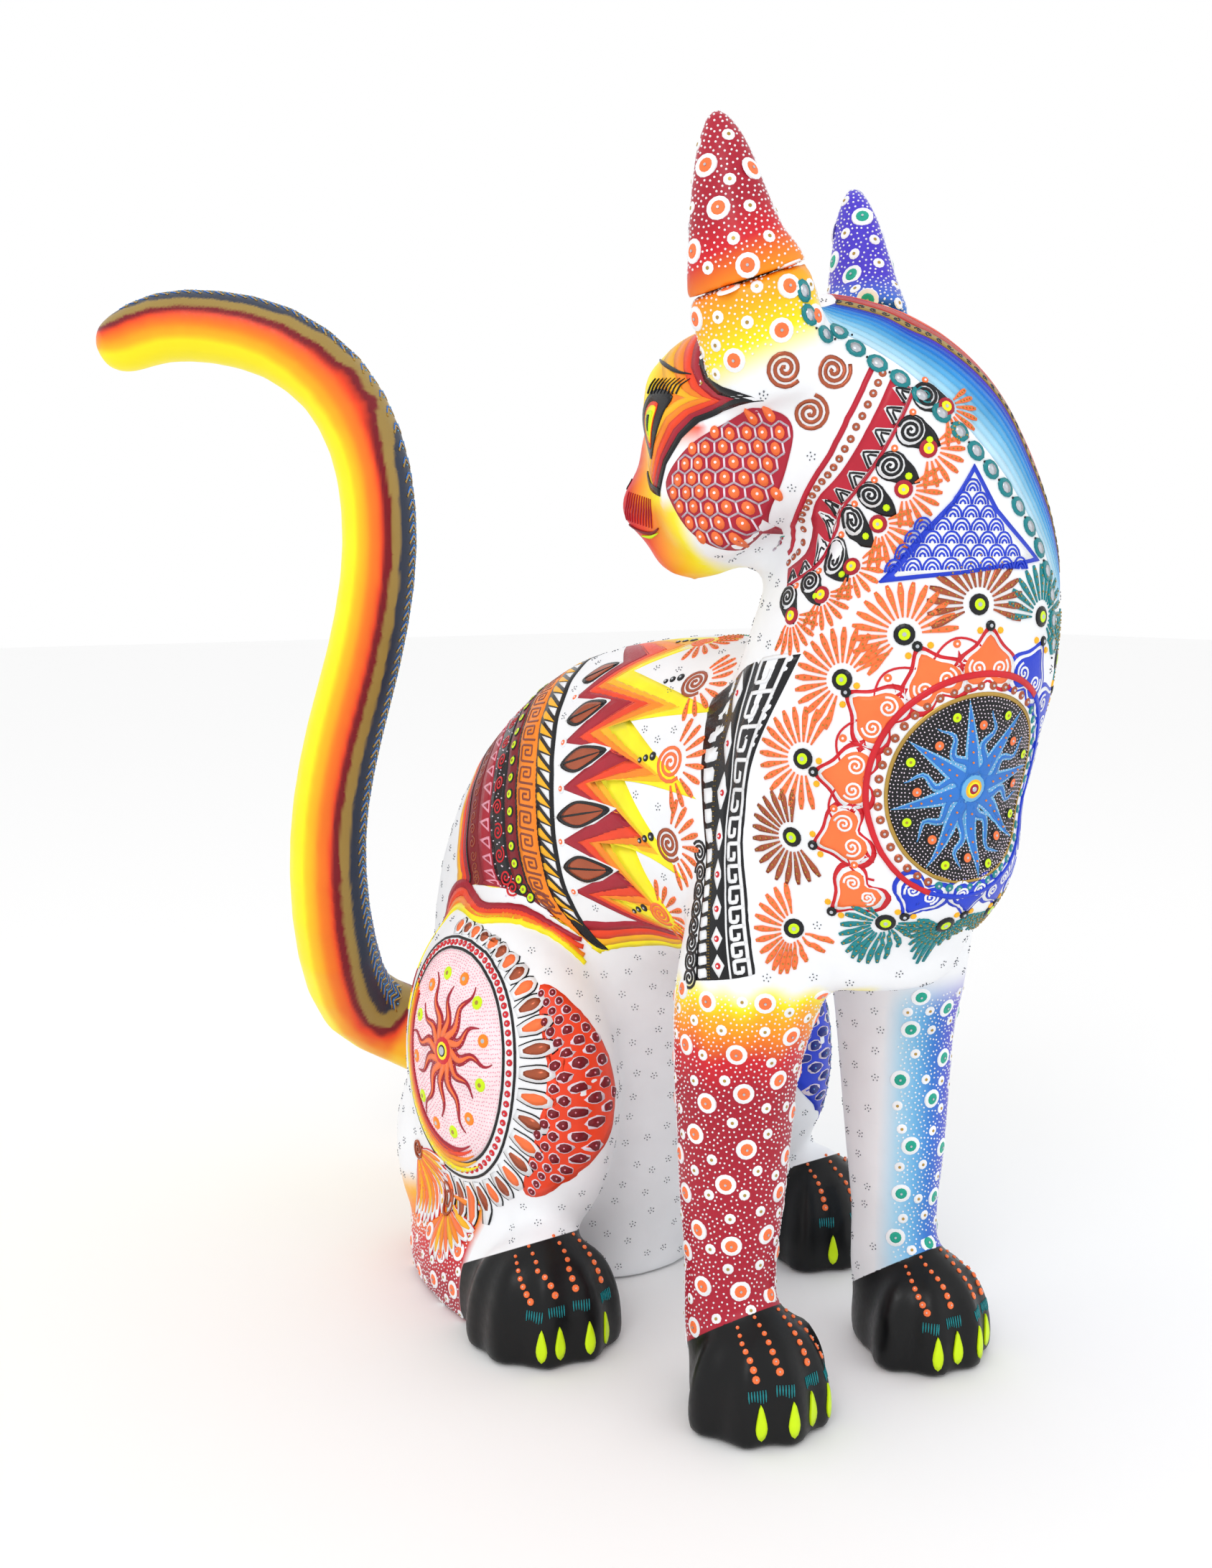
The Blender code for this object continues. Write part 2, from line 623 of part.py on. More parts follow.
def block_cuts(group):
    """For each carved block, the cutters that saw it out of the form."""
    far, half = ALL_ROUND, GLUE_GAP / 2.0
    low, high = (-far, -far, -far), (far, far, far * 2)
    floor = box("floor_cut", (-far, -far, 0), high, group)
    above_neck = box("neck_block", (-far, -far, NECK_JOINT_HEIGHT + half), high, group)
    neck_gap = box("neck_gap", (-far, -far, NECK_JOINT_HEIGHT - half), high, group)
    cuts = {
        "torso": [("INTERSECT", floor), ("DIFFERENCE", neck_gap)],
        "head_neck": [("INTERSECT", above_neck)],
    }
    for side, word in SIDES:
        near, away = sorted((side * 3.0, side * far))
        top, rear = FORELEG_JOINT_HEIGHT, HIND_JOINT_FRONT
        keep = box("foreleg_block", (near, -far, 0), (away, rear, top - half), group)
        gap = box("foreleg_gap", (near, *low[1:]), (away, rear + GLUE_GAP, top + half), group)
        cuts["foreleg_" + word] = [("INTERSECT", keep)]
        cuts["torso"].append(("DIFFERENCE", gap))

        top = HIND_JOINT_HEIGHT
        near, away = sorted((side * (HIND_JOINT_OFFSET + half), side * far))
        keep = box("hind_block", (near, rear + GLUE_GAP, 0), (away, far, top - half), group)
        near, away = sorted((side * (HIND_JOINT_OFFSET - half), side * far))
        gap = box("hind_gap", (near, rear, -far), (away, far, top + half), group)
        cuts["hind_leg_" + word] = [("INTERSECT", keep)]
        cuts["torso"].append(("DIFFERENCE", gap))

        cuts["ear_" + word] = [("INTERSECT", ear_box(side, half, group))]
        cuts["head_neck"].append(("DIFFERENCE", ear_box(side, -half, group)))
    return cuts


def pegs():
    """Name, middle, axis, diameter, length and the two pieces of every dowel and peg."""
    rows = [(row, ("torso", "head_neck")) for row in neck_dowels()]
    for side, word in SIDES:
        rows += [(row, ("torso", "foreleg_" + word)) for row in foreleg_dowels(side, word)]
        rows += [(row, ("torso", "hind_leg_" + word)) for row in hind_dowels(side, word)]
        peg = ("ear_%s_peg" % word, ear_seat(side), ear_axis(side), EAR_PEG_DIAMETER, EAR_PEG_LENGTH)
        rows.append((peg, ("head_neck", "ear_" + word)))
    peg = ("tail_peg", tail_root(), TAIL_AXIS, TAIL_PEG_DIAMETER, TAIL_PEG_LENGTH)
    rows.append((peg, ("torso", "tail")))
    return rows


def stand_on_origin(parts, guides):
    """Moves all of it so that the origin is the middle of the box's foot; returns the move."""
    graph = bpy.context.evaluated_depsgraph_get()
    graph.update()
    corners = []
    for obj in parts.objects:
        corners += [Vector(corner) for corner in obj.evaluated_get(graph).bound_box]
    middle_x = (min(c.x for c in corners) + max(c.x for c in corners)) / 2.0
    middle_y = (min(c.y for c in corners) + max(c.y for c in corners)) / 2.0
    move = Vector((-middle_x, -middle_y, 0.0))
    for obj in list(parts.objects) + list(guides.objects):
        obj.data.transform(Matrix.Translation(move))
    return move


def set_origin(obj, point):
    """Puts the object's origin on a joint and leaves its shape where it is."""
    obj.data.transform(Matrix.Translation(-point))
    obj.location = point


def build():
    clear_scene()
    parts = collection("seated_cat_alebrije")
    guides = collection("cutters")
    form = carcass_form(guides)
    cuts = block_cuts(guides)
    recess_radius = TAIL_ROOT_RADIUS + RECESS_CLEARANCE
    recess = cylinder("tail_recess", tail_root(), TAIL_AXIS, 40.0, recess_radius, guides, sides=28)
    cuts["torso"].append(("DIFFERENCE", recess))
    cuts["tail"] = []

    wood = finish_material("copal_wood", BARE_WOOD, 0.6)
    for (name, middle, axis, diameter, length), pieces in pegs():
        made = dowel(name, middle, axis, diameter, length, parts)
        made.data.materials.append(wood)
        hole = dowel_hole(middle, axis, diameter, length, guides)
        for piece in pieces:
            cuts[piece].append(("DIFFERENCE", hole))

    colours = {
        "torso": PAINTED_WHITE, "head_neck": PAINTED_WHITE,
        "foreleg_right": PAINTED_RED, "foreleg_left": PAINTED_BLUE,
        "hind_leg_right": PAINTED_RED, "hind_leg_left": PAINTED_BLUE,
        "ear_left": PAINTED_RED, "ear_right": PAINTED_BLUE,
        "tail": PAINTED_ORANGE,
    }
    tail_form = tail(guides)
    for name, colour in colours.items():
        block = take_block(name, tail_form if name == "tail" else form, cuts[name], parts)
        block.data.materials.clear()
        block.data.materials.append(finish_material(name + "_paint", colour, 0.45))
    bpy.data.objects.remove(tail_form, do_unlink=True)
    bpy.data.objects.remove(form, do_unlink=True)

    move = stand_on_origin(parts, guides)
    joints = {"tail": tail_root()}
    for side, word in SIDES:
        joints["ear_" + word] = ear_seat(side)
    for name, point in joints.items():
        for piece in (name, name + "_peg"):
            set_origin(bpy.data.objects[piece], point * MM + move)
    hide_guides(guides)


build()
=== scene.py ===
"""A carved wooden cat, sitting and looking back over its shoulder, painted all over with raised
acrylic dots, petals, spirals and bands: reds on its right side, blues on its left."""
import math
import bmesh
import bpy
import numpy as np
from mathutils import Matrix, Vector
from mathutils.bvhtree import BVHTree
from mathutils.kdtree import KDTree


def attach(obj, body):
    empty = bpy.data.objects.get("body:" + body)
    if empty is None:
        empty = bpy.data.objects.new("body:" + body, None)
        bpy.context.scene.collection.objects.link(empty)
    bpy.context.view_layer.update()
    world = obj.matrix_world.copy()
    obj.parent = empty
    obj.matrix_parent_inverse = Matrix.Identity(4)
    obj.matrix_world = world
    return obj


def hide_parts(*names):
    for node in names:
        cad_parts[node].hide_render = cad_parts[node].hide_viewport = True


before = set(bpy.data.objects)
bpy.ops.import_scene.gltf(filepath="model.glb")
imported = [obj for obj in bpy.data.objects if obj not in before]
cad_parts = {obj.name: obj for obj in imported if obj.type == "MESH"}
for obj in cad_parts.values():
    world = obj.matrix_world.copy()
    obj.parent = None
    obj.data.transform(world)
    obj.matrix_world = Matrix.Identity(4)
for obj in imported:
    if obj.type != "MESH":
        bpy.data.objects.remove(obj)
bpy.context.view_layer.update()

# ---------------------------------------------------------------- sizes, mm unless said otherwise
MM = 0.001
SKIN_VOXEL = 2.1            # grain of the sculpted body surface
FINE_VOXEL = 1.1            # grain of the ears
SKIN_SWELL = 0.45           # the pieces swell by this before they are fused over their seams
SMOOTH_ROUNDS = 9
COAT_RISE = 0.10            # a first coat of paint stands this proud
COAT_STEP = 0.13            # each further coat adds this
COAT_SINK = -0.45           # and its underside lies in the wood
MIDDLE_X = 30.3             # the trunk's middle plane
NECK_AXIS = (33.0, -131.0)  # upright line through chest and neck
CHEST_RADIUS = 52.0
FLANK_RADIUS = 54.0
FLANK_HEIGHT = 205.0
HAUNCH_AXIS = (-15.0, 16.0)
HAUNCH_RADIUS = 46.0
HEAD_CENTRE = np.array((-13.7, -100.0, 334.0))
HEAD_AHEAD = np.array((-0.3090, 0.9511, 0.0))
HEAD_LEFT = np.array((-0.9488, -0.3083, 0.0698))
HEAD_UP = np.array((0.0664, 0.0216, 0.9976))
TAIL_ROOT = np.array((20.3, 114.0, 64.0))
UP = np.array((0.0, 0.0, 1.0))
FACE_REACH = 62.0           # the side of the face is met from this far out
FACE_DEPTH = 12.0           # and taken to lie this far out where nothing is met
SPIRAL_EYE = 0.08           # a spiral's eye, as a share of its size
TAIL_VOXEL = 1.3            # grain of the tail
FINE_ROUNDS = 8             # smoothing of the ears and the tail
DISC_PITCH, DISC_SIZE = 12.5, 3.7   # ringed discs: spacing and radius
BEAD_PITCH, BEAD_SIZE = 8.2, 2.0    # small ringed beads
FINE_PITCH, FINE_SIZE = 1.5, 0.45   # fine dots
FINE_TRIES = 36000

HEXES = dict(
    white="f3f5f8", coral="ff7a40", orange_red="f0441e", orange="f98a1c", gold_yellow="fbb81a",
    yellow="fff01a", dark_red="a81c30", red="d4202c", black="15161a", lime="d2f400",
    teal="17858c", teal_bright="18a68c", copper="b05c40", gold="b8954a", silver="c6cbd2",
    royal="1f3fd0", navy="1a2a86", mid_blue="2f78d0", sky="6db4e4", pale_blue="a6d6f0",
    violet="4a38c8", lilac="ecdcea", brown="8a4636", pink="f0a0b4", grey="5a6068",
    ochre="a08545", slate="2e3648", maroon="7c1420", crimson="bd2036", lilac_white="f0e2ee",
    cell_red="b01f36", sun_pink="fbe6ea", paw_black="08090b",
    nape_1="b9e0f4", nape_2="9fd4ee", nape_3="7cc0e6", nape_4="4fa6dc",
    nape_5="2a90d8", nape_6="0f78d4", nape_7="0a50c4", nape_8="4436c4",
    dusk_1="b3241c", dusk_2="e0401c", dusk_3="f0681c", dusk_4="f5921a",
    dusk_5="f8c01a", dusk_6="f2e41c")
METALS = dict(copper=0.75, gold=0.8, silver=0.85)
SWAP = dict(dark_red="navy", red="royal", orange_red="royal", orange="mid_blue", gold_yellow="sky",
            yellow="pale_blue", coral="teal_bright", copper="teal", brown="navy", maroon="navy",
            pink="sky")


def linear(hexa):
    """sRGB hex to linear RGBA."""
    parts = [int(hexa[i:i + 2], 16) / 255 for i in (0, 2, 4)]
    return tuple(c / 12.92 if c <= 0.04045 else ((c + 0.055) / 1.055) ** 2.4 for c in parts) + (1.0,)


def tint(name):
    return np.array(linear(HEXES[name]))


# ---------------------------------------------------------------- materials
def add(tree, kind, settings=(), **links):
    """One node, with its settings, and its inputs as values or as other nodes' outputs."""
    n = tree.nodes.new(kind)
    for key, value in dict(settings).items():
        setattr(n, key, value)
    for key, value in links.items():
        socket = n.inputs[int(key[1:])] if key[0] == "i" and key[1:].isdigit() else \
            n.inputs[key.replace("_", " ")]
        if isinstance(value, bpy.types.NodeSocket):
            tree.links.new(value, socket)
        else:
            socket.default_value = value
    return n


def new_material(name):
    mat = bpy.data.materials.new(name)
    mat.use_nodes = True
    tree = mat.node_tree
    tree.nodes.clear()
    shader = add(tree, "ShaderNodeBsdfPrincipled")
    out = add(tree, "ShaderNodeOutputMaterial")
    tree.links.new(shader.outputs[0], out.inputs["Surface"])
    return mat, tree, shader


def acrylic(name, colour, gloss, metal):
    """Acrylic craft paint, brushed and dotted on by hand: satin, a little uneven in tone from the
    overlapping strokes, with the faint ridges of a fine brush."""
    mat, tree, shader = new_material(name)
    place = add(tree, "ShaderNodeTexCoord").outputs["Object"]
    patches = add(tree, "ShaderNodeTexNoise", Vector=place, Scale=90.0, Detail=3.0)
    bristle = add(tree, "ShaderNodeTexNoise", Vector=place, Scale=900.0, Detail=4.0)
    base = add(tree, "ShaderNodeRGB").outputs[0]
    base.default_value = colour
    shade = add(tree, "ShaderNodeMapRange", Value=patches.outputs[0], From_Min=0.3, From_Max=0.7,
                To_Min=0.90, To_Max=1.06)
    toned = add(tree, "ShaderNodeVectorMath", dict(operation="SCALE"), i0=base,
                Scale=shade.outputs[0])
    tree.links.new(toned.outputs[0], shader.inputs["Base Color"])
    rough = add(tree, "ShaderNodeMapRange", Value=bristle.outputs[0], From_Min=0.25, From_Max=0.75,
                To_Min=gloss - 0.06, To_Max=gloss + 0.09)
    tree.links.new(rough.outputs[0], shader.inputs["Roughness"])
    bump = add(tree, "ShaderNodeBump", Strength=0.22, Distance=0.00025,
               Height=bristle.outputs[0])
    tree.links.new(bump.outputs[0], shader.inputs["Normal"])
    shader.inputs["Metallic"].default_value = metal
    shader.inputs["Specular IOR Level"].default_value = 0.5 if metal else 0.32
    return mat


def ground_paint(name):
    """White acrylic ground over the sanded carving, airbrushed in places, with black paws: the
    smooth fades and the paw's clean edge are the surface's own attributes."""
    mat, tree, shader = new_material(name)
    place = add(tree, "ShaderNodeTexCoord").outputs["Object"]
    fade = add(tree, "ShaderNodeAttribute", dict(attribute_name="ground")).outputs["Color"]
    paw = add(tree, "ShaderNodeAttribute", dict(attribute_name="paw")).outputs["Fac"]
    edge = add(tree, "ShaderNodeMapRange", Value=paw, From_Min=0.46, From_Max=0.54)
    cloud = add(tree, "ShaderNodeTexNoise", Vector=place, Scale=45.0, Detail=4.0)
    bristle = add(tree, "ShaderNodeTexNoise", Vector=place, Scale=520.0, Detail=5.0)
    shade = add(tree, "ShaderNodeMapRange", Value=cloud.outputs[0], From_Min=0.3, From_Max=0.7,
                To_Min=0.955, To_Max=1.02)
    toned = add(tree, "ShaderNodeVectorMath", dict(operation="SCALE"), i0=fade,
                Scale=shade.outputs[0])
    both = add(tree, "ShaderNodeMix", dict(data_type="RGBA"), Factor=edge.outputs[0])
    tree.links.new(toned.outputs[0], both.inputs[6])
    both.inputs[7].default_value = linear(HEXES["paw_black"])
    tree.links.new(both.outputs[2], shader.inputs["Base Color"])
    rough = add(tree, "ShaderNodeMapRange", Value=bristle.outputs[0], From_Min=0.25, From_Max=0.75,
                To_Min=0.30, To_Max=0.44)
    tree.links.new(rough.outputs[0], shader.inputs["Roughness"])
    shader.inputs["Specular IOR Level"].default_value = 0.28
    bump = add(tree, "ShaderNodeBump", Strength=0.16, Distance=0.0003, Height=bristle.outputs[0])
    tree.links.new(bump.outputs[0], shader.inputs["Normal"])
    return mat


def bare_wood(name):
    """Copal wood, whittled and left bare on the pegs: pale yellow-brown with long fine grain."""
    mat, tree, shader = new_material(name)
    place = add(tree, "ShaderNodeTexCoord").outputs["Object"]
    drawn = add(tree, "ShaderNodeMapping", Vector=place)
    drawn.inputs["Scale"].default_value = (1.0, 1.0, 0.12)
    grain = add(tree, "ShaderNodeTexNoise", Vector=drawn.outputs[0], Scale=700.0, Detail=6.0)
    ramp = add(tree, "ShaderNodeValToRGB", Fac=grain.outputs[0])
    ramp.color_ramp.elements[0].position, ramp.color_ramp.elements[1].position = 0.35, 0.68
    ramp.color_ramp.elements[0].color = linear("b08a58")
    ramp.color_ramp.elements[1].color = linear("e2c695")
    tree.links.new(ramp.outputs[0], shader.inputs["Base Color"])
    shader.inputs["Roughness"].default_value = 0.62
    bump = add(tree, "ShaderNodeBump", Strength=0.3, Distance=0.0002, Height=grain.outputs[0])
    tree.links.new(bump.outputs[0], shader.inputs["Normal"])
    return mat


PAINTS = {}


def paint_material(name):
    if name not in PAINTS:
        metal = METALS.get(name, 0.0)
        gloss = 0.30 if metal else (0.26 if name in ("black", "teal", "silver") else 0.36)
        PAINTS[name] = acrylic("acrylic_" + name, linear(HEXES[name]), gloss, metal)
    return PAINTS[name]


# ---------------------------------------------------------------- carved surfaces
def fused(name, nodes, voxel, rounds):
    """The carved pieces as one skin: swollen a little so that their hairline seams close, fused,
    smoothed as sanding leaves them, and drawn back to size."""
    bm = bmesh.new()
    for n in nodes:
        bm.from_mesh(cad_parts[n].data)
    bmesh.ops.remove_doubles(bm, verts=bm.verts[:], dist=1e-6)
    bm.normal_update()
    for v in bm.verts:
        v.co += v.normal * SKIN_SWELL * MM
    raw = bpy.data.meshes.new(name + "_raw")
    bm.to_mesh(raw)
    bm.free()
    obj = bpy.data.objects.new(name, raw)
    bpy.context.scene.collection.objects.link(obj)
    remesh = obj.modifiers.new("fuse", "REMESH")
    remesh.mode, remesh.voxel_size = "VOXEL", voxel * MM
    done = bpy.data.meshes.new_from_object(
        obj.evaluated_get(bpy.context.evaluated_depsgraph_get()))
    obj.modifiers.clear()
    obj.data = done
    done.name = name
    bm = bmesh.new()
    bm.from_mesh(done)
    keep_largest(bm)
    for _ in range(rounds):
        bmesh.ops.smooth_vert(bm, verts=bm.verts[:], factor=0.5, use_axis_x=True,
                              use_axis_y=True, use_axis_z=True)
    bm.normal_update()
    for v in bm.verts:
        v.co -= v.normal * (SKIN_SWELL - 0.1) * MM
    for f in bm.faces:
        f.smooth = True
    bm.to_mesh(done)
    bm.free()
    return obj


def keep_largest(bm):
    """Drops the closed bubbles inside."""
    left, shells = set(bm.verts), []
    while left:
        seed = left.pop()
        shell, front = {seed}, [seed]
        while front:
            v = front.pop()
            for e in v.link_edges:
                w = e.other_vert(v)
                if w in left:
                    left.discard(w)
                    shell.add(w)
                    front.append(w)
        shells.append(shell)
    shells.sort(key=len)
    for shell in shells[:-1]:
        bmesh.ops.delete(bm, geom=list(shell), context="VERTS")


class Surface:
    """A carved skin that paint is laid on. Its coats gather by paint until they are made."""

    def __init__(self, obj, body, tag):
        self.obj, self.body, self.tag = obj, body, tag
        mesh = obj.data
        count = len(mesh.vertices)
        co = np.empty(count * 3, np.float32)
        mesh.vertices.foreach_get("co", co)
        self.co = co.reshape(-1, 3).astype(float) / MM
        nor = np.array([v.normal[:] for v in mesh.vertices])
        polys = [tuple(p.vertices) for p in mesh.polygons]
        self.tree = BVHTree.FromPolygons([Vector(c) for c in self.co], polys)
        self.normal = np.array([nor[list(p)].mean(0) for p in polys])
        self.normal /= np.linalg.norm(self.normal, axis=1)[:, None] + 1e-9
        self.centre = np.array([self.co[list(p)].mean(0) for p in polys])
        self.coats = {}

    def snap(self, points):
        """The nearest places on the skin, with their normals."""
        at, way = np.empty((len(points), 3)), np.empty((len(points), 3))
        for i, p in enumerate(points):
            hit, _, face, _ = self.tree.find_nearest(Vector(p))
            at[i], way[i] = hit[:], self.normal[face]
        return at, way

    def keep(self, paint, verts, faces, smooth):
        self.coats.setdefault(paint, []).append((verts, faces, smooth))

    def lay(self, paint, form, guess, layer, rise=0.0):
        """A thin closed coat of paint: the form's plan laid over the skin."""
        _, pair, high, faces, smooth = form
        at, way = self.snap(guess)
        at, way = at[pair], way[pair]
        top = COAT_RISE + COAT_STEP * layer + rise
        verts = at + way * np.where(high, top, COAT_SINK)[:, None]
        a, b, c = (verts[faces[smooth][:, k]] for k in range(3))
        turn = np.einsum("ij,ij->i", np.cross(b - a, c - a), way[faces[smooth][:, 0]]).sum()
        self.keep(paint, verts, faces if turn > 0 else faces[:, ::-1], smooth)

    def dots(self, paint, points, ways, size, layer, rise, sides):
        """Round dots of thick paint, each a low dome."""
        points, ways = np.atleast_2d(points), np.atleast_2d(ways)
        if not len(points):
            return
        form, faces = dome(sides)
        size = np.broadcast_to(np.asarray(size, float), (len(points),))
        helper = np.where(np.abs(ways[:, 2:3]) < 0.9, UP, (1.0, 0.0, 0.0))
        side = np.cross(helper, ways)
        side /= np.linalg.norm(side, axis=1)[:, None] + 1e-9
        across = np.cross(ways, side)
        low = COAT_SINK
        high = COAT_RISE + COAT_STEP * layer + rise
        tall = low + (high - low) * form[:, 2]
        verts = (points[:, None] + side[:, None] * (form[None, :, 0:1] * size[:, None, None])
                 + across[:, None] * (form[None, :, 1:2] * size[:, None, None])
                 + ways[:, None] * tall[None, :, None])
        n = len(form)
        every = faces[None] + (np.arange(len(points)) * n)[:, None, None]
        self.keep(paint, verts.reshape(-1, 3), every.reshape(-1, 3),
                  np.zeros(len(points) * len(faces), bool))


# ---------------------------------------------------------------- forms of paint
FORMS = {}


def in_order(corners, faces):
    """An order for corners and triangles that is the same on every run, which bmesh's isn't:
    the corners' order, the triangles with their new numbers, and the triangles' order."""
    order = np.lexsort(np.round(corners, 5).T[::-1])
    rank = np.empty(len(order), int)
    rank[order] = np.arange(len(order))
    faces = rank[faces]
    first = faces.argmin(1)
    rows = np.arange(len(faces))
    faces = np.stack([faces[rows, (first + k) % 3] for k in range(3)], 1)
    turn = np.lexsort(faces.T[::-1])
    return order, faces[turn], turn


def plan_of(bm):
    """A flat sheet thickened to a closed slab: plan places, which of them each corner uses,
    whether it is on top, its triangles, and which of those are the top."""
    flat = bm.faces[:]
    bmesh.ops.recalc_face_normals(bm, faces=flat)
    grown = bmesh.ops.extrude_face_region(bm, geom=flat, use_keep_orig=True)
    bmesh.ops.translate(bm, vec=(0, 0, 1), verts=[g for g in grown["geom"]
                                                   if isinstance(g, bmesh.types.BMVert)])
    bmesh.ops.triangulate(bm, faces=bm.faces[:])
    bmesh.ops.recalc_face_normals(bm, faces=bm.faces[:])
    bm.normal_update()
    bm.verts.index_update()
    corners = np.array([v.co[:] for v in bm.verts])
    faces = np.array([[v.index for v in f.verts] for f in bm.faces])
    top = np.array([f.normal.z > 0.9 for f in bm.faces])
    bm.free()
    order, faces, turn = in_order(corners, faces)
    spots, pair, plan = {}, [], []
    for x, y, _ in corners[order]:
        key = (round(x, 5), round(y, 5))
        if key not in spots:
            spots[key] = len(plan)
            plan.append(key)
        pair.append(spots[key])
    return np.array(plan), np.array(pair), corners[order][:, 2] > 0.5, faces, top[turn]


def sheet(along, across):
    """A slab over the unit square."""
    key = ("sheet", along, across)
    if key not in FORMS:
        bm = bmesh.new()
        bmesh.ops.create_grid(bm, x_segments=along, y_segments=across, size=0.5)
        bmesh.ops.translate(bm, vec=(0.5, 0.5, 0), verts=bm.verts[:])
        FORMS[key] = plan_of(bm)
    return FORMS[key]


def disc(sides, rings):
    """A slab over the unit disc."""
    key = ("disc", sides, rings)
    if key not in FORMS:
        bm = bmesh.new()
        line = [bm.verts.new((k / rings, 0, 0)) for k in range(rings + 1)]
        edges = [bm.edges.new(pair) for pair in zip(line, line[1:])]
        bmesh.ops.spin(bm, geom=line + edges, cent=(0, 0, 0), axis=(0, 0, 1),
                       angle=2 * math.pi, steps=sides, use_merge=True, dvec=(0, 0, 0))
        bmesh.ops.remove_doubles(bm, verts=bm.verts[:], dist=1e-5)
        bmesh.ops.dissolve_degenerate(bm, edges=bm.edges[:], dist=1e-6)
        FORMS[key] = plan_of(bm)
    return FORMS[key]


def dome(sides):
    """A low round drop of paint, unit radius and unit height."""
    key = ("dome", sides)
    if key not in FORMS:
        bm = bmesh.new()
        bmesh.ops.create_circle(bm, cap_ends=True, segments=sides, radius=1.0)
        base = bm.faces[:]
        levels = ((0.97, 0.72), (0.72, 1.0)) if sides > 6 else ((0.75, 1.0),)
        rim, wide, tall = base, 1.0, 0.0
        for radius, height in levels:
            rim = bmesh.ops.extrude_face_region(bm, geom=rim, use_keep_orig=rim is base)["geom"]
            moved = [g for g in rim if isinstance(g, bmesh.types.BMVert)]
            rim = [g for g in rim if isinstance(g, bmesh.types.BMFace)]
            bmesh.ops.translate(bm, vec=(0, 0, height - tall), verts=moved)
            bmesh.ops.scale(bm, vec=(radius / wide, radius / wide, 1), verts=moved)
            wide, tall = radius, height
        bmesh.ops.triangulate(bm, faces=bm.faces[:])
        bmesh.ops.recalc_face_normals(bm, faces=bm.faces[:])
        bm.verts.index_update()
        corners = np.array([v.co[:] for v in bm.verts])
        faces = np.array([[v.index for v in f.verts] for f in bm.faces])
        bm.free()
        order, faces, _ = in_order(corners, faces)
        FORMS[key] = corners[order], faces
    return FORMS[key]


# ---------------------------------------------------------------- lines in plan and in space
def spaced(points, count, closed=False):
    """count places spread evenly along a line of points."""
    points = np.asarray(points, float)
    if closed:
        points = np.vstack([points, points[:1]])
    steps = np.r_[0, np.cumsum(np.linalg.norm(np.diff(points, axis=0), axis=1))]
    want = np.linspace(0, steps[-1], count + 1)[:-1] if closed else \
        np.linspace(0, steps[-1], count)
    return np.stack([np.interp(want, steps, points[:, k]) for k in range(points.shape[1])], 1)


def curved(points, per, closed=False):
    """A smooth line through the points."""
    p = np.asarray(points, float)
    p = np.vstack([p[-1:], p, p[:2]]) if closed else \
        np.vstack([2 * p[0] - p[1], p, 2 * p[-1] - p[-2]])
    t = np.linspace(0, 1, per, endpoint=False)[:, None]
    out = []
    for a, b, c, d in zip(p, p[1:], p[2:], p[3:]):
        out.append(0.5 * (2 * b + (c - a) * t + (2 * a - 5 * b + 4 * c - d) * t ** 2
                          + (3 * b - a - 3 * c + d) * t ** 3))
    out = np.vstack(out)
    return out if closed else np.vstack([out, p[-2:-1]])


def length(points):
    return float(np.linalg.norm(np.diff(np.asarray(points, float), axis=0), axis=1).sum())


def offset(line, by):
    """A plan line moved sideways, to its right."""
    line = np.asarray(line, float)
    run = np.gradient(line, axis=0)
    run /= np.linalg.norm(run, axis=1)[:, None] + 1e-9
    return line + np.stack([run[:, 1], -run[:, 0]], 1) * np.asarray(by)[..., None]


def spiral(size, turns, start, hand=1):
    """A spiral line round the origin, from its small eye outwards."""
    t = np.linspace(0, 1, int(14 * turns) + 2)
    angle = start + hand * t * turns * 2 * math.pi
    r = size * (SPIRAL_EYE + (1 - SPIRAL_EYE) * t)
    return np.stack([r * np.cos(angle), r * np.sin(angle)], 1)


def ring_line(radius, count):
    a = np.linspace(0, 2 * math.pi, count, endpoint=False)
    return np.stack([radius * np.cos(a), radius * np.sin(a)], 1)


# ---------------------------------------------------------------- charts: plan places to space
def chest_chart(uv):
    """Across the chest and neck: millimetres round from straight ahead, and height."""
    uv = np.asarray(uv, float)
    a = uv[:, 0] / CHEST_RADIUS
    under_jaw = np.clip((np.abs(a - 0.3) - 1.55) / 0.45, 0, 1) * (uv[:, 1] > 270)
    r = CHEST_RADIUS - 9.5 * under_jaw
    return np.stack([NECK_AXIS[0] + r * np.sin(a), NECK_AXIS[1] - r * np.cos(a), uv[:, 1]], 1)


def flank_chart(side):
    """Over the flank: place along the trunk, and degrees up from its side."""
    def chart(uv):
        uv = np.asarray(uv, float)
        a = np.radians(uv[:, 1])
        r = FLANK_RADIUS + 2
        return np.stack([MIDDLE_X + side * r * np.cos(a), uv[:, 0],
                         FLANK_HEIGHT + r * np.sin(a)], 1)
    return chart


def haunch_chart(side):
    """Round the haunch: millimetres forward from its outermost line, and height."""
    def chart(uv):
        uv = np.asarray(uv, float)
        a = uv[:, 0] / HAUNCH_RADIUS
        x = HAUNCH_AXIS[0] - HAUNCH_RADIUS * np.cos(a)
        if side > 0:
            x = 2 * MIDDLE_X - x
        return np.stack([x, HAUNCH_AXIS[1] - HAUNCH_RADIUS * np.sin(a), uv[:, 1]], 1)
    return chart


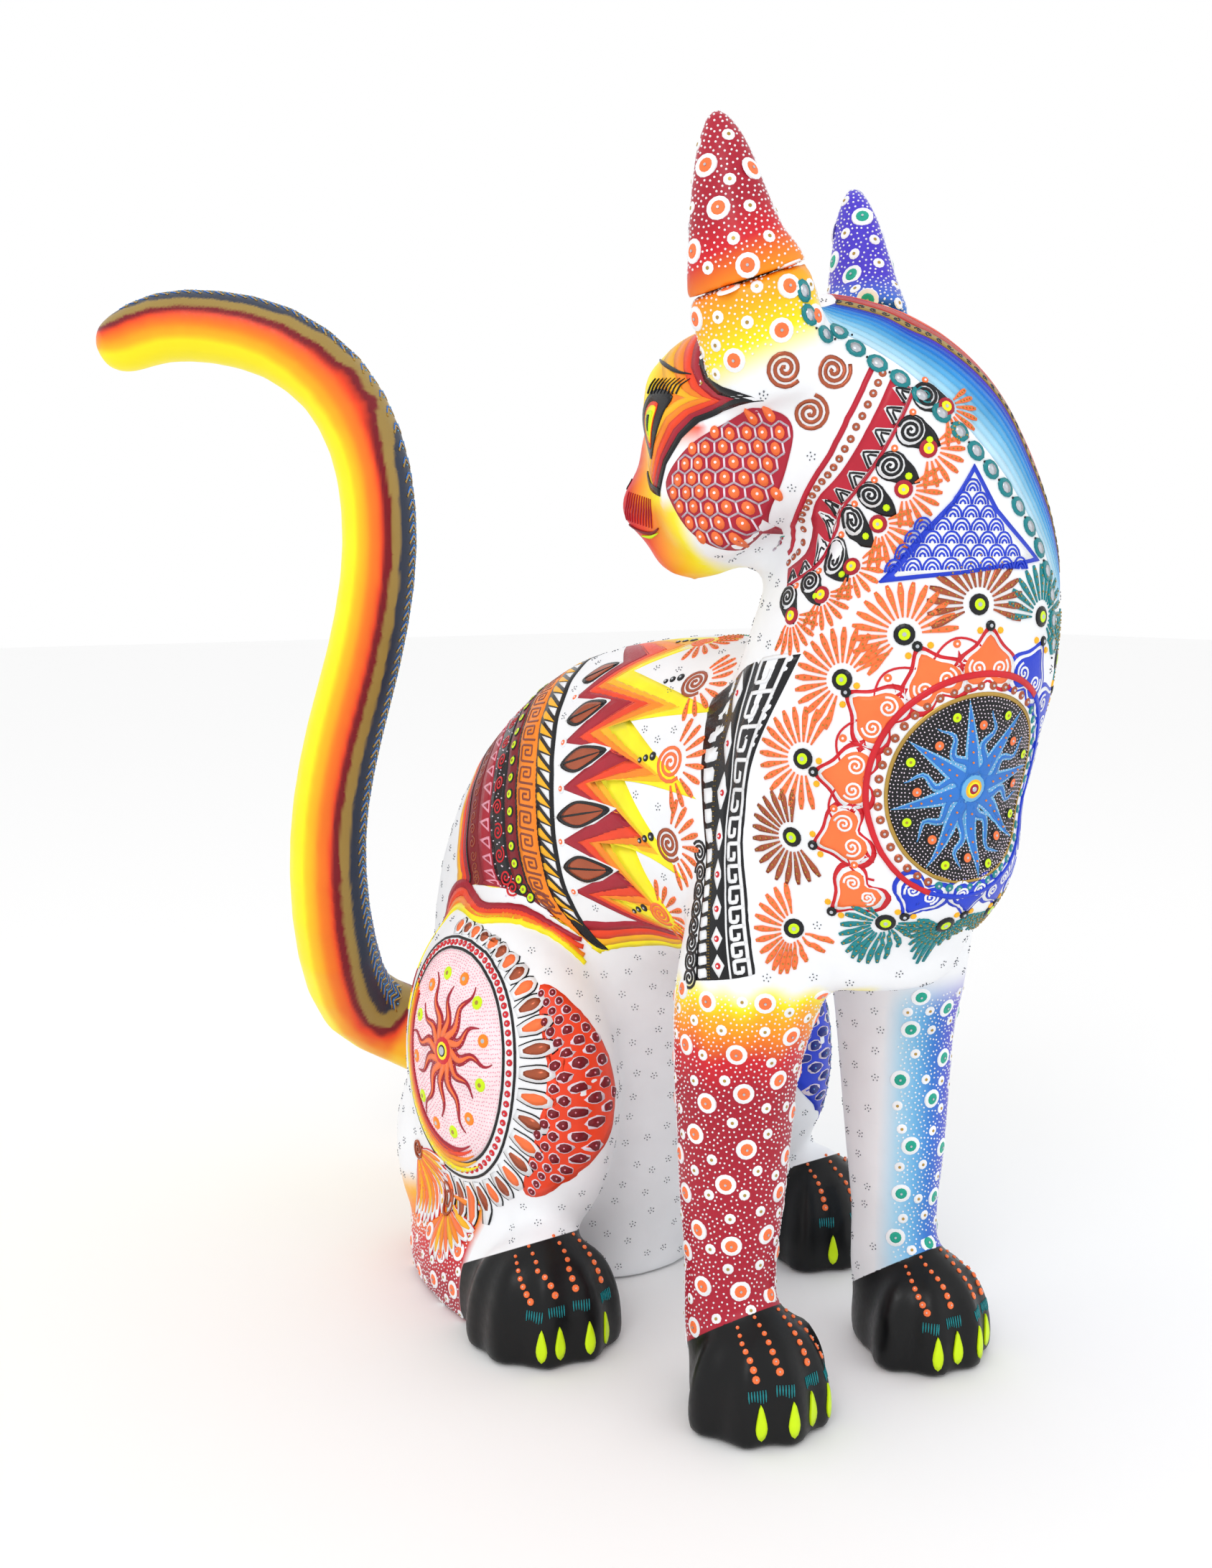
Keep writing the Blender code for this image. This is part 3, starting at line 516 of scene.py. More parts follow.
def face_chart(skin, side):
    """The side of the face: millimetres ahead of the head's middle, and up."""
    def chart(uv):
        uv = np.asarray(uv, float)
        out = []
        for ahead, up in uv:
            start = HEAD_CENTRE + HEAD_AHEAD * ahead + HEAD_UP * up + HEAD_LEFT * side * FACE_REACH
            hit = skin.tree.ray_cast(Vector(start), Vector(-HEAD_LEFT * side), FACE_REACH)
            if hit[0] is None or face_hidden(hit[0], side):
                out.append(HEAD_CENTRE + HEAD_AHEAD * ahead + HEAD_UP * up
                           + HEAD_LEFT * side * FACE_DEPTH)
            else:
                out.append(np.array(hit[0][:]))
        return np.array(out)
    return chart


def face_hidden(spot, side):
    return (np.array(spot[:]) - HEAD_CENTRE) @ HEAD_LEFT * side < 0


def local_chart(skin, spot, up=UP):
    """A small flat plan held against the skin at one spot."""
    at, way = skin.snap([spot])
    at, way = at[0], way[0]
    tall = np.asarray(up, float) - way * np.dot(up, way)
    tall /= np.linalg.norm(tall) + 1e-9
    right = np.cross(tall, way)

    def chart(uv):
        uv = np.asarray(uv, float)
        return at + uv[:, 0:1] * right + uv[:, 1:2] * tall
    return chart


def between(line_a, line_b):
    """A strip's own plan: 0 to 1 along it, and 0 to 1 from one edge line to the other."""
    a, b = np.asarray(line_a, float), np.asarray(line_b, float)
    ta, tb = np.linspace(0, 1, len(a)), np.linspace(0, 1, len(b))

    def chart(uv):
        uv = np.asarray(uv, float)
        p = np.stack([np.interp(uv[:, 0], ta, a[:, k]) for k in range(a.shape[1])], 1)
        q = np.stack([np.interp(uv[:, 0], tb, b[:, k]) for k in range(b.shape[1])], 1)
        return p + (q - p) * uv[:, 1:2]
    return chart


# ---------------------------------------------------------------- strokes, patches and bands
def stroke(skin, chart, line, width, paint, layer, taper=None, step=1.7, rise=0.0):
    """A brush stroke: width is the full breadth in mm; taper scales it from end to end."""
    world = chart(np.asarray(line, float))
    count = max(2, int(math.ceil(length(world) / step)) + 1)
    world = spaced(world, count)
    at, way = skin.snap(world)
    run = np.gradient(at, axis=0)
    side = np.cross(way, run)
    side /= np.linalg.norm(side, axis=1)[:, None] + 1e-9
    half = np.full(count, width / 2.0)
    if taper is not None:
        half = half * np.interp(np.linspace(0, 1, count), np.linspace(0, 1, len(taper)), taper)
    form = sheet(count - 1, 1)
    plan = form[0]
    k = np.rint(plan[:, 0] * (count - 1)).astype(int)
    guess = at[k] + side[k] * (half[k] * (2 * plan[:, 1] - 1))[:, None]
    skin.lay(paint, form, guess, layer, rise)


def band(skin, chart, line_a, line_b, paint, layer, along=None, across=None):
    """A band of paint between two plan lines."""
    a, b = np.asarray(line_a, float), np.asarray(line_b, float)
    run = max(length(chart(a)), length(chart(b)))
    gap = np.linalg.norm(chart(a) - chart(spaced(b, len(a)) if len(a) != len(b) else b),
                         axis=1).max()
    along = along or max(2, int(run / 2.2))
    across = across or max(1, int(gap / 2.4))
    inner = between(a, b)
    form = sheet(along, across)
    skin.lay(paint, form, chart(inner(form[0])), layer)


def patch(skin, chart, outline, paint, layer, centre=None, rings=None, sides=None, rise=0.0):
    """A filled shape, laid out from its centre to its outline."""
    outline = np.asarray(outline, float)
    centre = outline.mean(0) if centre is None else np.asarray(centre, float)
    world = chart(outline)
    reach = np.linalg.norm(world - chart(centre[None])[0], axis=1).max()
    sides = sides or int(np.clip(length(world) / 1.6, 8, 90))
    rings = rings or max(1, int(reach / 2.4))
    rim = spaced(outline, sides, closed=True)
    rim = np.vstack([rim, rim[:1]])
    form = disc(sides, rings)
    plan = form[0]
    r = np.hypot(plan[:, 0], plan[:, 1])
    turn = (np.arctan2(plan[:, 1], plan[:, 0]) / (2 * math.pi)) % 1.0 * sides
    edge = np.stack([np.interp(turn, np.arange(sides + 1), rim[:, k]) for k in (0, 1)], 1)
    skin.lay(paint, form, chart(centre + (edge - centre) * r[:, None]), layer, rise)


def spot(skin, chart, places, size, paint, layer, rise=0.35, sides=8):
    """Dots at plan places."""
    at, way = skin.snap(chart(np.atleast_2d(np.asarray(places, float))))
    skin.dots(paint, at, way, size, layer, rise, sides)


def eye_dot(skin, chart, place, sizes, layer):
    """Dots of falling size laid one on the other."""
    for k, (size, paint) in enumerate(sizes):
        spot(skin, chart, [place], size, paint, layer + k, 0.22, 14 if size > 1.5 else 10)


def fan(skin, chart, centre, facing, spread, count, inner, outer, wide, paint):
    """Petals round a centre, each a drop that widens outwards, with a row of gold beads."""
    centre = np.array(centre)
    for k in range(count):
        a = facing + spread * (k / (count - 1) - 0.5)
        way = np.array((math.cos(a), math.sin(a)))
        line = [centre + way * r for r in np.linspace(inner, outer, 5)]
        stroke(skin, chart, line, wide, paint, 1, (0.25, 0.5, 0.8, 1.0, 0.45), rise=0.12)
        spots = [centre + way * r for r in np.linspace(inner + 2.5, outer - 1.2, 4)]
        spot(skin, chart, spots, 0.42, "gold", 3, 0.14, 5)


# ---------------------------------------------------------------- scattering
def scattered(skin, inside, pitch, tries, seed, avoid=()):
    """Places spread evenly at random, no two closer than the pitch, and clear of what is given."""
    rng = np.random.default_rng(seed)
    pool = np.flatnonzero(inside(skin.centre, skin.normal))
    if not len(pool):
        return np.empty((0, 3)), np.empty((0, 3))
    pick = rng.choice(pool, tries)
    ways = skin.normal[pick]
    shift = rng.uniform(-0.9, 0.9, (tries, 3))
    shift -= ways * np.einsum("ij,ij->i", shift, ways)[:, None]
    points = skin.centre[pick] + shift
    free = np.ones(tries, bool)
    for centres, reach in avoid:
        if len(centres):
            tree = KDTree(len(centres))
            for i, c in enumerate(centres):
                tree.insert(Vector(c), i)
            tree.balance()
            reach = np.broadcast_to(np.asarray(reach, float), (len(centres),))
            for i in np.flatnonzero(free):
                _, near, gap = tree.find(Vector(points[i]))
                free[i] = gap > reach[near]
    grid, kept = {}, []
    around = [(a, b, c) for a in (-1, 0, 1) for b in (-1, 0, 1) for c in (-1, 0, 1)]
    cells = np.floor(points / pitch).astype(int)
    for i in np.flatnonzero(free):
        cx, cy, cz = cells[i]
        p = points[i]
        near = [q for a, b, c in around for q in grid.get((cx + a, cy + b, cz + c), ())]
        if all((p[0] - q[0]) ** 2 + (p[1] - q[1]) ** 2 + (p[2] - q[2]) ** 2 > pitch ** 2
               for q in near):
            grid.setdefault((cx, cy, cz), []).append(p)
            kept.append(i)
    return points[kept], ways[kept]


def dotted_field(skin, inside, seed, ring="coral"):
    """Fine white dots over a faded ground, with ringed discs and small ringed beads among them."""
    big, big_way = scattered(skin, inside, DISC_PITCH, 2500, seed)
    little, little_way = scattered(skin, inside, BEAD_PITCH, 4000, seed + 1, [(big, 7.4)])
    fine, fine_way = scattered(skin, inside, FINE_PITCH, FINE_TRIES, seed + 2,
                               [(big, DISC_SIZE + 0.75), (little, BEAD_SIZE + 0.7)])
    skin.dots("white", big, big_way, DISC_SIZE, 0, 0.20, 14)
    skin.dots(ring, big, big_way, DISC_SIZE * 0.64, 1, 0.30, 12)
    skin.dots("silver", big, big_way, 0.62, 3, 0.35, 6)
    skin.dots("white", little, little_way, BEAD_SIZE, 0, 0.20, 10)
    skin.dots("gold", little, little_way, 0.75, 1, 0.25, 6)
    skin.dots("white", fine, fine_way, FINE_SIZE, 0, 0.12, 5)


# ---------------------------------------------------------------- the carved pieces
CARVED = ["torso", "head_neck", "foreleg_right", "foreleg_left", "hind_leg_right",
          "hind_leg_left"]
DOWELS = sorted(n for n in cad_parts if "dowel" in n)
ground_material = ground_paint("acrylic_ground_on_carving")


def ramped(x, stops):
    """A colour for each x, faded between stops."""
    at = [s[0] for s in stops]
    rows = np.array([tint(s[1]) for s in stops])
    return np.stack([np.interp(x, at, rows[:, k]) for k in range(4)], 1)


def blend_in(base, over, weight):
    return base + (over - base) * np.clip(weight, 0, 1)[:, None]


def smooth(x, low, high):
    t = np.clip((x - low) / (high - low), 0, 1)
    return t * t * (3 - 2 * t)


def fore_paw_top(y):
    """The height where a front paw's black ends."""
    return 27 + (-y - 104) * 0.72


def body_ground(p):
    """The airbrushed fades on the body, and where the black paws are."""
    x, y, z = p.T
    col = np.tile(tint("white"), (len(p), 1))
    near = smooth(-y, 74, 80) * smooth(16 - x, 0, 6) * smooth(158 - z, 0, 3)
    wave = z + 1.6 * np.sin(x * 0.42) + 1.2 * np.sin(y * 0.5 + 1)
    fore = ramped(wave, [(20, "cell_red"), (118, "dark_red"), (130, "red"), (138, "orange"),
                         (145, "gold_yellow"), (150, "yellow"), (156, "white")])
    col = blend_in(col, fore, near)
    far = smooth(-y, 74, 80) * smooth(x - 44, 0, 6) * smooth(150 - z, 0, 18)
    turn = ((x - 70.5) * 0.809 - (y + 103) * 0.588) / 20.0
    blue = ramped(turn, [(-0.45, "white"), (-0.1, "pale_blue"), (0.2, "sky"), (0.5, "mid_blue"),
                         (0.95, "violet")])
    col = blend_in(col, blue, far)
    heel_z = z + 0.25 * y
    heel = ramped(heel_z, [(14, "dark_red"), (30, "red"), (40, "orange"), (48, "gold_yellow"),
                           (56, "white")])
    heel_blue = ramped(heel_z, [(14, "violet"), (30, "mid_blue"), (44, "sky"), (56, "white")])
    at_heel = smooth(y, -3, 1) * smooth(60 - z, 0, 6)
    col = blend_in(col, heel, at_heel * (x < -24))
    col = blend_in(col, heel_blue, at_heel * (x > 84))
    rel = p - HEAD_CENTRE
    ahead, left, up = rel @ HEAD_AHEAD, rel @ HEAD_LEFT, rel @ HEAD_UP
    low = ramped(ahead, [(-12, "white"), (-5, "white"), (1, "yellow"), (9, "gold_yellow"),
                         (15, "orange"), (22, "orange_red"), (29, "red")])
    mid = ramped(ahead, [(7.5, "white"), (8.5, "yellow"), (13, "yellow"), (19, "gold_yellow"),
                         (24, "orange"), (30, "red")])
    top = ramped(ahead, [(-13, "white"), (-10, "orange_red"), (2, "orange"), (10, "gold_yellow"),
                         (17, "yellow"), (24, "orange"), (30, "orange_red")])
    face = mid + (low - mid) * smooth(-up, 20, 27)[:, None]
    face = face + (top - face) * smooth(up, -8, 0)[:, None]
    on_head = smooth(z, 284, 288) * smooth(ahead + 0.3 * up, -24, -20) * (np.abs(left) < 40)
    col = blend_in(col, face, on_head * (smooth(-up, -8, 8) + smooth(ahead, -10, -6) > 0.5))
    foot = smooth(27 - np.hypot(x + 43, y + 138), 0, 4) * smooth(z, 340, 346)
    col = blend_in(col, ramped(ear_height(p), NEAR_EAR), foot)
    on_toes = (np.abs(x - MIDDLE_X) > 42) & (y < np.where(x > 60, -30, -0.5))
    hind_edge = np.where(on_toes, 25.0 + (-1.5 - y) * 0.52, -39.0)
    edge = np.where(y < -70, fore_paw_top(y), hind_edge)
    paw = np.clip(0.5 + (edge - z) / 4.0, 0, 1)
    paw[(y < -52) & (y > -70) & (z > 40)] = 0
    return col, paw


def tail_back(p):
    """The way the tail's back faces: forwards up its rise, and upwards where it curls over."""
    over = smooth(p[:, 2], 315, 375)[:, None]
    back = np.array((0.809, -0.588, 0.0)) * (1 - over) + np.array((0.05, -0.05, 1.0)) * over
    return back / np.linalg.norm(back, axis=1)[:, None]


def tail_ground(p, n):
    """Gold and slate along the tail's back, fading through red and orange to a yellow belly."""
    back = tail_back(p)
    angle = np.degrees(np.arccos(np.clip((n * back).sum(1), -1, 1)))
    col = ramped(angle, [(0, "slate"), (44, "slate"), (46, "ochre"), (62, "ochre"), (64, "maroon"),
                         (70, "maroon"), (77, "orange_red"), (93, "orange"),
                         (108, "gold_yellow"), (122, "yellow")])
    return col, np.zeros(len(p))


NEAR_EAR = [(345, "white"), (354, "yellow"), (365, "gold_yellow"), (375, "orange"), (385, "red"),
            (397, "dark_red"), (430, "cell_red")]
FAR_EAR = [(366, "pale_blue"), (376, "mid_blue"), (388, "violet")]


def ear_height(p):
    """How far up the ear, along a line that dips towards the face."""
    return p[:, 2] - 0.45 * ((p[:, 0] + 44) * 0.809 - (p[:, 1] + 137) * 0.588) * (p[:, 0] < 10)


def ear_ground(p, stops):
    return ramped(ear_height(p), stops), np.zeros(len(p))


def finish_ground(obj, col, paw):
    mesh = obj.data
    shade = mesh.color_attributes.new("ground", "FLOAT_COLOR", "POINT")
    shade.data.foreach_set("color", np.clip(col, 0, 1).astype(np.float32).ravel())
    black = mesh.attributes.new("paw", "FLOAT", "POINT")
    black.data.foreach_set("value", np.asarray(paw, np.float32))
    mesh.materials.clear()
    mesh.materials.append(ground_material)


def made_skin(name, nodes, voxel, rounds, body, tag):
    obj = fused(name, nodes, voxel, rounds)
    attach(obj, body)
    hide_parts(*nodes)
    return Surface(obj, body, tag)


body = made_skin("body_skin", CARVED + DOWELS, SKIN_VOXEL, SMOOTH_ROUNDS, "carcass",
                 "body")
ear_near = made_skin("ear_left_skin", ["ear_left"], FINE_VOXEL, FINE_ROUNDS, "ear_left",
                     "ear_left")
ear_far = made_skin("ear_right_skin", ["ear_right"], FINE_VOXEL, FINE_ROUNDS, "ear_right",
                    "ear_right")
tail = made_skin("tail_skin", ["tail"], TAIL_VOXEL, FINE_ROUNDS, "tail", "tail")
finish_ground(body.obj, *body_ground(body.co))
finish_ground(ear_near.obj, *ear_ground(ear_near.co, NEAR_EAR))
finish_ground(ear_far.obj, *ear_ground(ear_far.co, FAR_EAR))
tail_normals = np.array([v.normal[:] for v in tail.obj.data.vertices])
finish_ground(tail.obj, *tail_ground(tail.co, tail_normals))
peg_wood = bare_wood("copal_wood_bare")
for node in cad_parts:
    if node.endswith("_peg"):
        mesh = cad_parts[node].data
        mesh.materials.clear()
        mesh.materials.append(peg_wood)


def itself(p):
    return np.asarray(p, float)


def reds(name):
    return name


def blues(name):
    return SWAP.get(name, name)


# ---------------------------------------------------------------- chest
MEDAL = np.array((-11.2, 222.9))
WING_EYES = [(-26.6, 49), (-45, 35), (-57, 10), (-62.5, -16), (-61, -47)]
HEARTS = [(0, 41), (-18, 36), (-35, 25), (-43, 5), (-45, -15), (-41, -35.5)]
HEART_LINE = [(0, 5.4), (2.4, 2.6), (4.9, 0.6), (5.7, -2.0), (4.5, -4.4), (2.2, -4.7), (0, -3.2),
              (-2.2, -4.7), (-4.5, -4.4), (-5.7, -2.0), (-4.9, 0.6), (-2.4, 2.6)]


def medal_chart(uv):
    return chest_chart(np.asarray(uv, float) + MEDAL)


def heart(place, colour, line):
    """A heart with its point outwards, twin spirals in its lobes and an outline round it."""
    away = math.atan2(place[1], place[0]) - math.pi / 2
    c, s = math.cos(away), math.sin(away)
    turn = np.array(((c, s), (-s, c)))

    def chart(uv):
        return medal_chart(np.asarray(uv, float) @ turn + place)
    shape = curved(HEART_LINE, 4, True) * 1.48
    patch(body, chart, shape * (1.42, 1.36), line, 0)
    patch(body, chart, shape * (1.20, 1.16), "white", 1)
    patch(body, chart, shape, colour, 2)
    for side in (-1, 1):
        stroke(body, chart, spiral(3.2, 2.0, 0.9 if side > 0 else 2.2, hand=side)
               + (3.9 * side, -2.2), 0.72, "white", 3, step=0.9)
    spot(body, chart, [(0, 10.6)], 1.7, "black", 2, sides=10)
    spot(body, chart, [(0, 10.6)], 0.8, "silver", 3, 0.3)
    spot(body, chart, [(-3.6, 9.2), (3.6, 9.2)], 1.1, "gold_yellow", 1)


def chest():
    full = np.linspace(0, 2 * math.pi, 97)
    circle = np.stack([np.cos(full), np.sin(full)], 1)
    red_part = circle[(full > 0.9) & (full < 4.35)]
    blue_part = np.vstack([circle[full >= 4.3], circle[full <= 0.95]])
    band(body, medal_chart, red_part * 36.2, red_part * 38.2, "red", 4)
    band(body, medal_chart, blue_part * 36.2, blue_part * 38.2, "royal", 4)
    patch(body, medal_chart, circle[:-1] * 30.4, "black", 0, (0, 0), rings=11)
    band(body, medal_chart, circle * 30.2, circle * 31.5, "gold", 1)
    for k in range(46):
        a = 2 * math.pi * k / 46
        place = (33.5 * math.cos(a), 33.5 * math.sin(a))
        eye_dot(body, medal_chart, place,
                [(1.45, "copper" if 0.9 < a < 4.3 else "teal"), (0.55, "silver")], 1)
    for k in range(8):
        a = math.radians(11 + 45 * k)
        way, side = np.array((math.cos(a), math.sin(a))), np.array((-math.sin(a), math.cos(a)))
        spear = [way * 5 - side * 2.4, way * 13 - side * 1.7, way * 28.5, way * 13 + side * 1.7,
                 way * 5 + side * 2.4]
        patch(body, medal_chart, [way * 4 - side * 3.4, way * 13 - side * 2.7, way * 30,
                                  way * 13 + side * 2.7, way * 4 + side * 3.4], "sky", 1,
              way * 12)
        patch(body, medal_chart, spear, "mid_blue", 2, way * 12)
        spot(body, medal_chart, [way * r for r in (9, 12.5, 16, 19.5, 23)], 0.42, "orange", 3,
             0.2, 6)
        a += math.radians(22.5)
        way, side = np.array((math.cos(a), math.sin(a))), np.array((-math.sin(a), math.cos(a)))
        wavy = [way * r + side * 1.9 * math.sin(r * 0.55) for r in np.linspace(4, 25.5, 14)]
        stroke(body, medal_chart, wavy, 4.2, "sky", 1, (1.0, 0.9, 0.62, 0.35, 0.06))
        stroke(body, medal_chart, wavy, 2.2, "mid_blue", 2, (1.0, 0.85, 0.5, 0.2, 0.04))
        for turn, paint in ((-11.25, "lime"), (11.25, "coral")):
            b = a + math.radians(turn)
            place = np.array((math.cos(b), math.sin(b))) * (25.6 if paint == "lime" else 21.0)
            eye_dot(body, medal_chart, place,
                    [(2.1, "black"), (1.8, paint), (0.55, "gold" if paint == "lime" else "silver")],
                    2)
    rng = np.random.default_rng(7)
    for radius in np.arange(8.5, 30, 1.25):
        count = int(2 * math.pi * radius / 1.3)
        a = np.arange(count) * 2 * math.pi / count + rng.uniform(0, 1)
        r = radius + rng.uniform(-0.25, 0.25, count)
        spot(body, medal_chart, np.stack([r * np.cos(a), r * np.sin(a)], 1), 0.3, "lilac", 0,
             0.16, 5)
    eye_dot(body, medal_chart, (0, 0), [(4.6, "sky"), (3.9, "gold_yellow"), (2.9, "yellow"),
                                        (2.2, "dark_red"), (1.1, "silver")], 3)
    for place in HEARTS:
        heart(np.array(place, float), "coral", "red")
    for place in [(19, 37), (35, 24), (43, 4), (44, -17), (38, -36), (-18, -37), (4, -38),
                  (22, -37)]:
        heart(np.array(place, float), "royal", "royal")
    wings = [((-4, 58), "copper")] + [(p, "copper" if k == 3 else "coral")
                                      for k, p in enumerate(WING_EYES)]
    wings += [((-29.5, -50), "teal"), ((-2, -55), "teal"), ((22, 54), "teal"), ((42, 40), "teal"),
              ((56, 16), "teal"), ((60, -12), "teal"), ((27, -50), "teal")]
    for place, paint in wings:
        place = np.array(place, float)
        away = math.atan2(place[1], place[0])
        fan(body, medal_chart, place, away, math.radians(222), 16, 5.2, 16.2, 2.1, paint)
        eye_dot(body, medal_chart, place, [(3.4, "black"), (2.2, "lime"), (0.9, "silver")], 2)
    for near, far in zip(HEARTS, HEARTS[1:]):
        mid = (np.array(near) + np.array(far)) / 2.0
        way = mid / np.linalg.norm(mid)
        side = np.array((-way[1], way[0]))
        star = [way * 4.0, (way + side) * 0.9, side * 3.0, (side - way) * 0.9, -way * 3.0,
                (-way - side) * 0.9, -side * 3.0, (way - side) * 0.9]
        patch(body, medal_chart, np.array(star) + way * 41.5, "red", 1, way * 41.5)
        eye_dot(body, medal_chart, way * 47.5, [(1.3, "coral"), (0.5, "white")], 1)
        arc = [way * 44 + side * s + way * (5.2 - 0.075 * s * s) for s in np.linspace(-8, 8, 9)]
        stroke(body, medal_chart, arc, 0.7, "red", 1)


# ---------------------------------------------------------------- collar, nape and chain
COLLAR = curved([(-49.5, 350), (-55, 338), (-62, 326), (-72, 315), (-81, 305), (-92, 297)], 8)
CHAIN = [(-60.8, 361), (-50, 353), (-38, 345), (-25.4, 335), (-13.6, 324), (0, 312), (10, 299),
         (17, 284), (21, 268)]
SPINE = [(-7, -144, 372), (-2, -151, 370), (2.4, -156, 368), (6.6, -161, 364), (13, -164, 361),
         (25, -170, 353), (38, -174, 341), (49, -177, 325), (59, -174, 307), (66, -169, 291)]
NEAR_NAPE = [(-21, -145, 371), (-18, -151, 366), (-12, -157, 360), (-3, -166, 351),
             (7, -174, 341), (18, -181, 330), (31, -184, 318), (43, -184, 304), (52, -182, 290),
             (58, -179, 280)]
FAR_NAPE = [(12, -112, 384), (22, -120, 382), (32, -130, 377), (42, -142, 369), (53, -153, 359),
            (64, -160, 347), (74, -164, 333), (80, -164, 318), (82, -160, 303), (83, -155, 288)]


def mirrored(line):
    """The neck's other side: its middle faces 18 degrees round."""
    line = np.array(line, float)
    line[:, 0] = 32.6 - line[:, 0]
    return line


def collar(line, tone, hand):
    """Line, beads, toothed band, spiral drops and small fans, each row lower on the neck."""
    lines = {d: offset(line, -d * hand) for d in (3.4, 6.2, 13.2, 13.8, 18.2, 25.0)}
    base = "crimson" if tone is reds else "royal"
    stroke(body, chest_chart, line, 1.7, base, 1)
    run = length(line)
    for place in spaced(lines[3.4], int(run / 2.9)):
        eye_dot(body, chest_chart, place, [(1.25, tone("copper")), (0.5, "silver")], 1)
    band(body, chest_chart, lines[6.2], lines[13.2], base, 1)
    inner = between(lines[6.2], lines[13.2])
    count = int(run / 5.9)
    for k in range(count):
        s0, s1 = (k + 0.02) / count, (k + 0.98) / count
        mid = (s0 + s1) / 2
        lean = 0.10 / count
        tri = inner(np.array(((s0, 0.98), (mid - lean, 0.12), (s1, 0.98))))
        patch(body, chest_chart, tri, "white", 2, tri.mean(0))
        for inset in (0.22, 0.58):
            v = inner(np.array(((s0 + (mid - s0) * inset, 0.94), (mid - lean, 0.12 + inset * 0.72),
                                (s1 - (s1 - mid) * inset, 0.94))))
            stroke(body, chest_chart, spaced(v, 9), 0.65, "black", 3, step=1.2)
    stroke(body, chest_chart, lines[13.8], 0.9, base, 2)
    drops = spaced(lines[18.2], int(length(lines[18.2]) / 9.6))
    ring = np.linspace(-math.pi, math.pi, 28, endpoint=False)
    reach = 4.7 + 5.2 * np.clip(1 - np.abs(ring) / 1.0, 0, 1) ** 1.5
    for k, place in enumerate(drops):
        way = drops[min(k + 1, len(drops) - 1)] - drops[max(k - 1, 0)]
        way = way / (np.linalg.norm(way) + 1e-9)
        out = hand * np.array((-way[1], way[0]))
        lean = math.atan2(out[1], out[0])
        drop = np.stack([reach * np.cos(ring + lean), reach * np.sin(ring + lean)], 1) + place
        patch(body, chest_chart, drop, "black", 1, place)
        patch(body, chest_chart, ring_line(4.1, 18) + place - out * 0.3, "white", 2, place)
        stroke(body, chest_chart, spiral(3.9, 2.4, k * 0.3) + place - out * 0.3, 0.95, "black", 3,
               step=0.9)
        spot(body, chest_chart, [place + out * 5.9], 1.15, "lime", 2)
        eye_dot(body, chest_chart, place - out * 2.2 - way * 4.8,
                [(1.1, "coral"), (0.45, "white")], 1)
    row = lines[25.0]
    for k, place in enumerate(spaced(row, int(length(row) / 11.0))):
        i = int(np.linalg.norm(row - place, axis=1).argmin())
        way = row[min(i + 1, len(row) - 1)] - row[max(i - 1, 0)]
        out = hand * np.array((-way[1], way[0]))
        facing = math.atan2(out[1], out[0])
        fan(body, chest_chart, place, facing, math.radians(128), 8, 3.8, 11.8, 1.8,
            tone("coral"))
        eye_dot(body, chest_chart, place,
                [(2.9, tone("dark_red")), (2.0, "yellow"), (0.7, "silver")], 2)


def chain(places, long, paint):
    for k in range(len(places)):
        way = places[min(k + 1, len(places) - 1)] - places[max(k - 1, 0)]
        chart = local_chart(body, body.snap([places[k]])[0][0], up=way)
        oval = np.stack([ring_line(long * 0.74, 18)[:, 0], ring_line(long, 18)[:, 1]], 1)
        patch(body, chart, oval, paint, 1, (0, 0), rings=2, rise=0.25)
        patch(body, chart, oval * 0.58, "silver", 2, (0, 0), rings=1, rise=0.40)
        spot(body, chart, [(0, long * 1.28)], 0.42, "black", 1, 0.2, 6)


def nape():
    spine, near, far = (curved(l, 6) for l in (SPINE, NEAR_NAPE, FAR_NAPE))
    fade = between(near, spine)
    s = np.linspace(0, 1, 60)
    for k in range(8):
        lines = [fade(np.stack([s, np.full(60, (k + e) / 8.3)], 1)) for e in (0, 1.06)]
        band(body, itself, lines[0], lines[1], "nape_%d" % (k + 1), 0, 60, 2)
    fade = between(spine, far)
    for k in range(6):
        lines = [fade(np.stack([s, np.full(60, 0.05 + 0.95 * (k + e) / 6)], 1))
                 for e in (0, 1.06)]
        band(body, itself, lines[0], lines[1], "dusk_%d" % (k + 1), 0, 60, 3)
    stroke(body, itself, spine, 3.4, "ochre", 2)
    for k, p in enumerate(spaced(spine, 34)[:-1]):
        chart = local_chart(body, p, up=UP)
        stroke(body, chart, spiral(1.3, 1.3, k), 0.4, "slate", 3, step=0.7)
    head_end = [(-30.4, -154.2, 372.2), (-28.5, -154.7, 365.5), (-21.7, -154.2, 360.5)]
    low = body.snap(chest_chart(spaced(curved(CHAIN, 6), 17)))[0]
    chain(np.vstack([head_end, low]), 3.5, "teal")
    chain(spaced(far + (2.0, 3.0, -1.0), 19), 2.8, "copper")


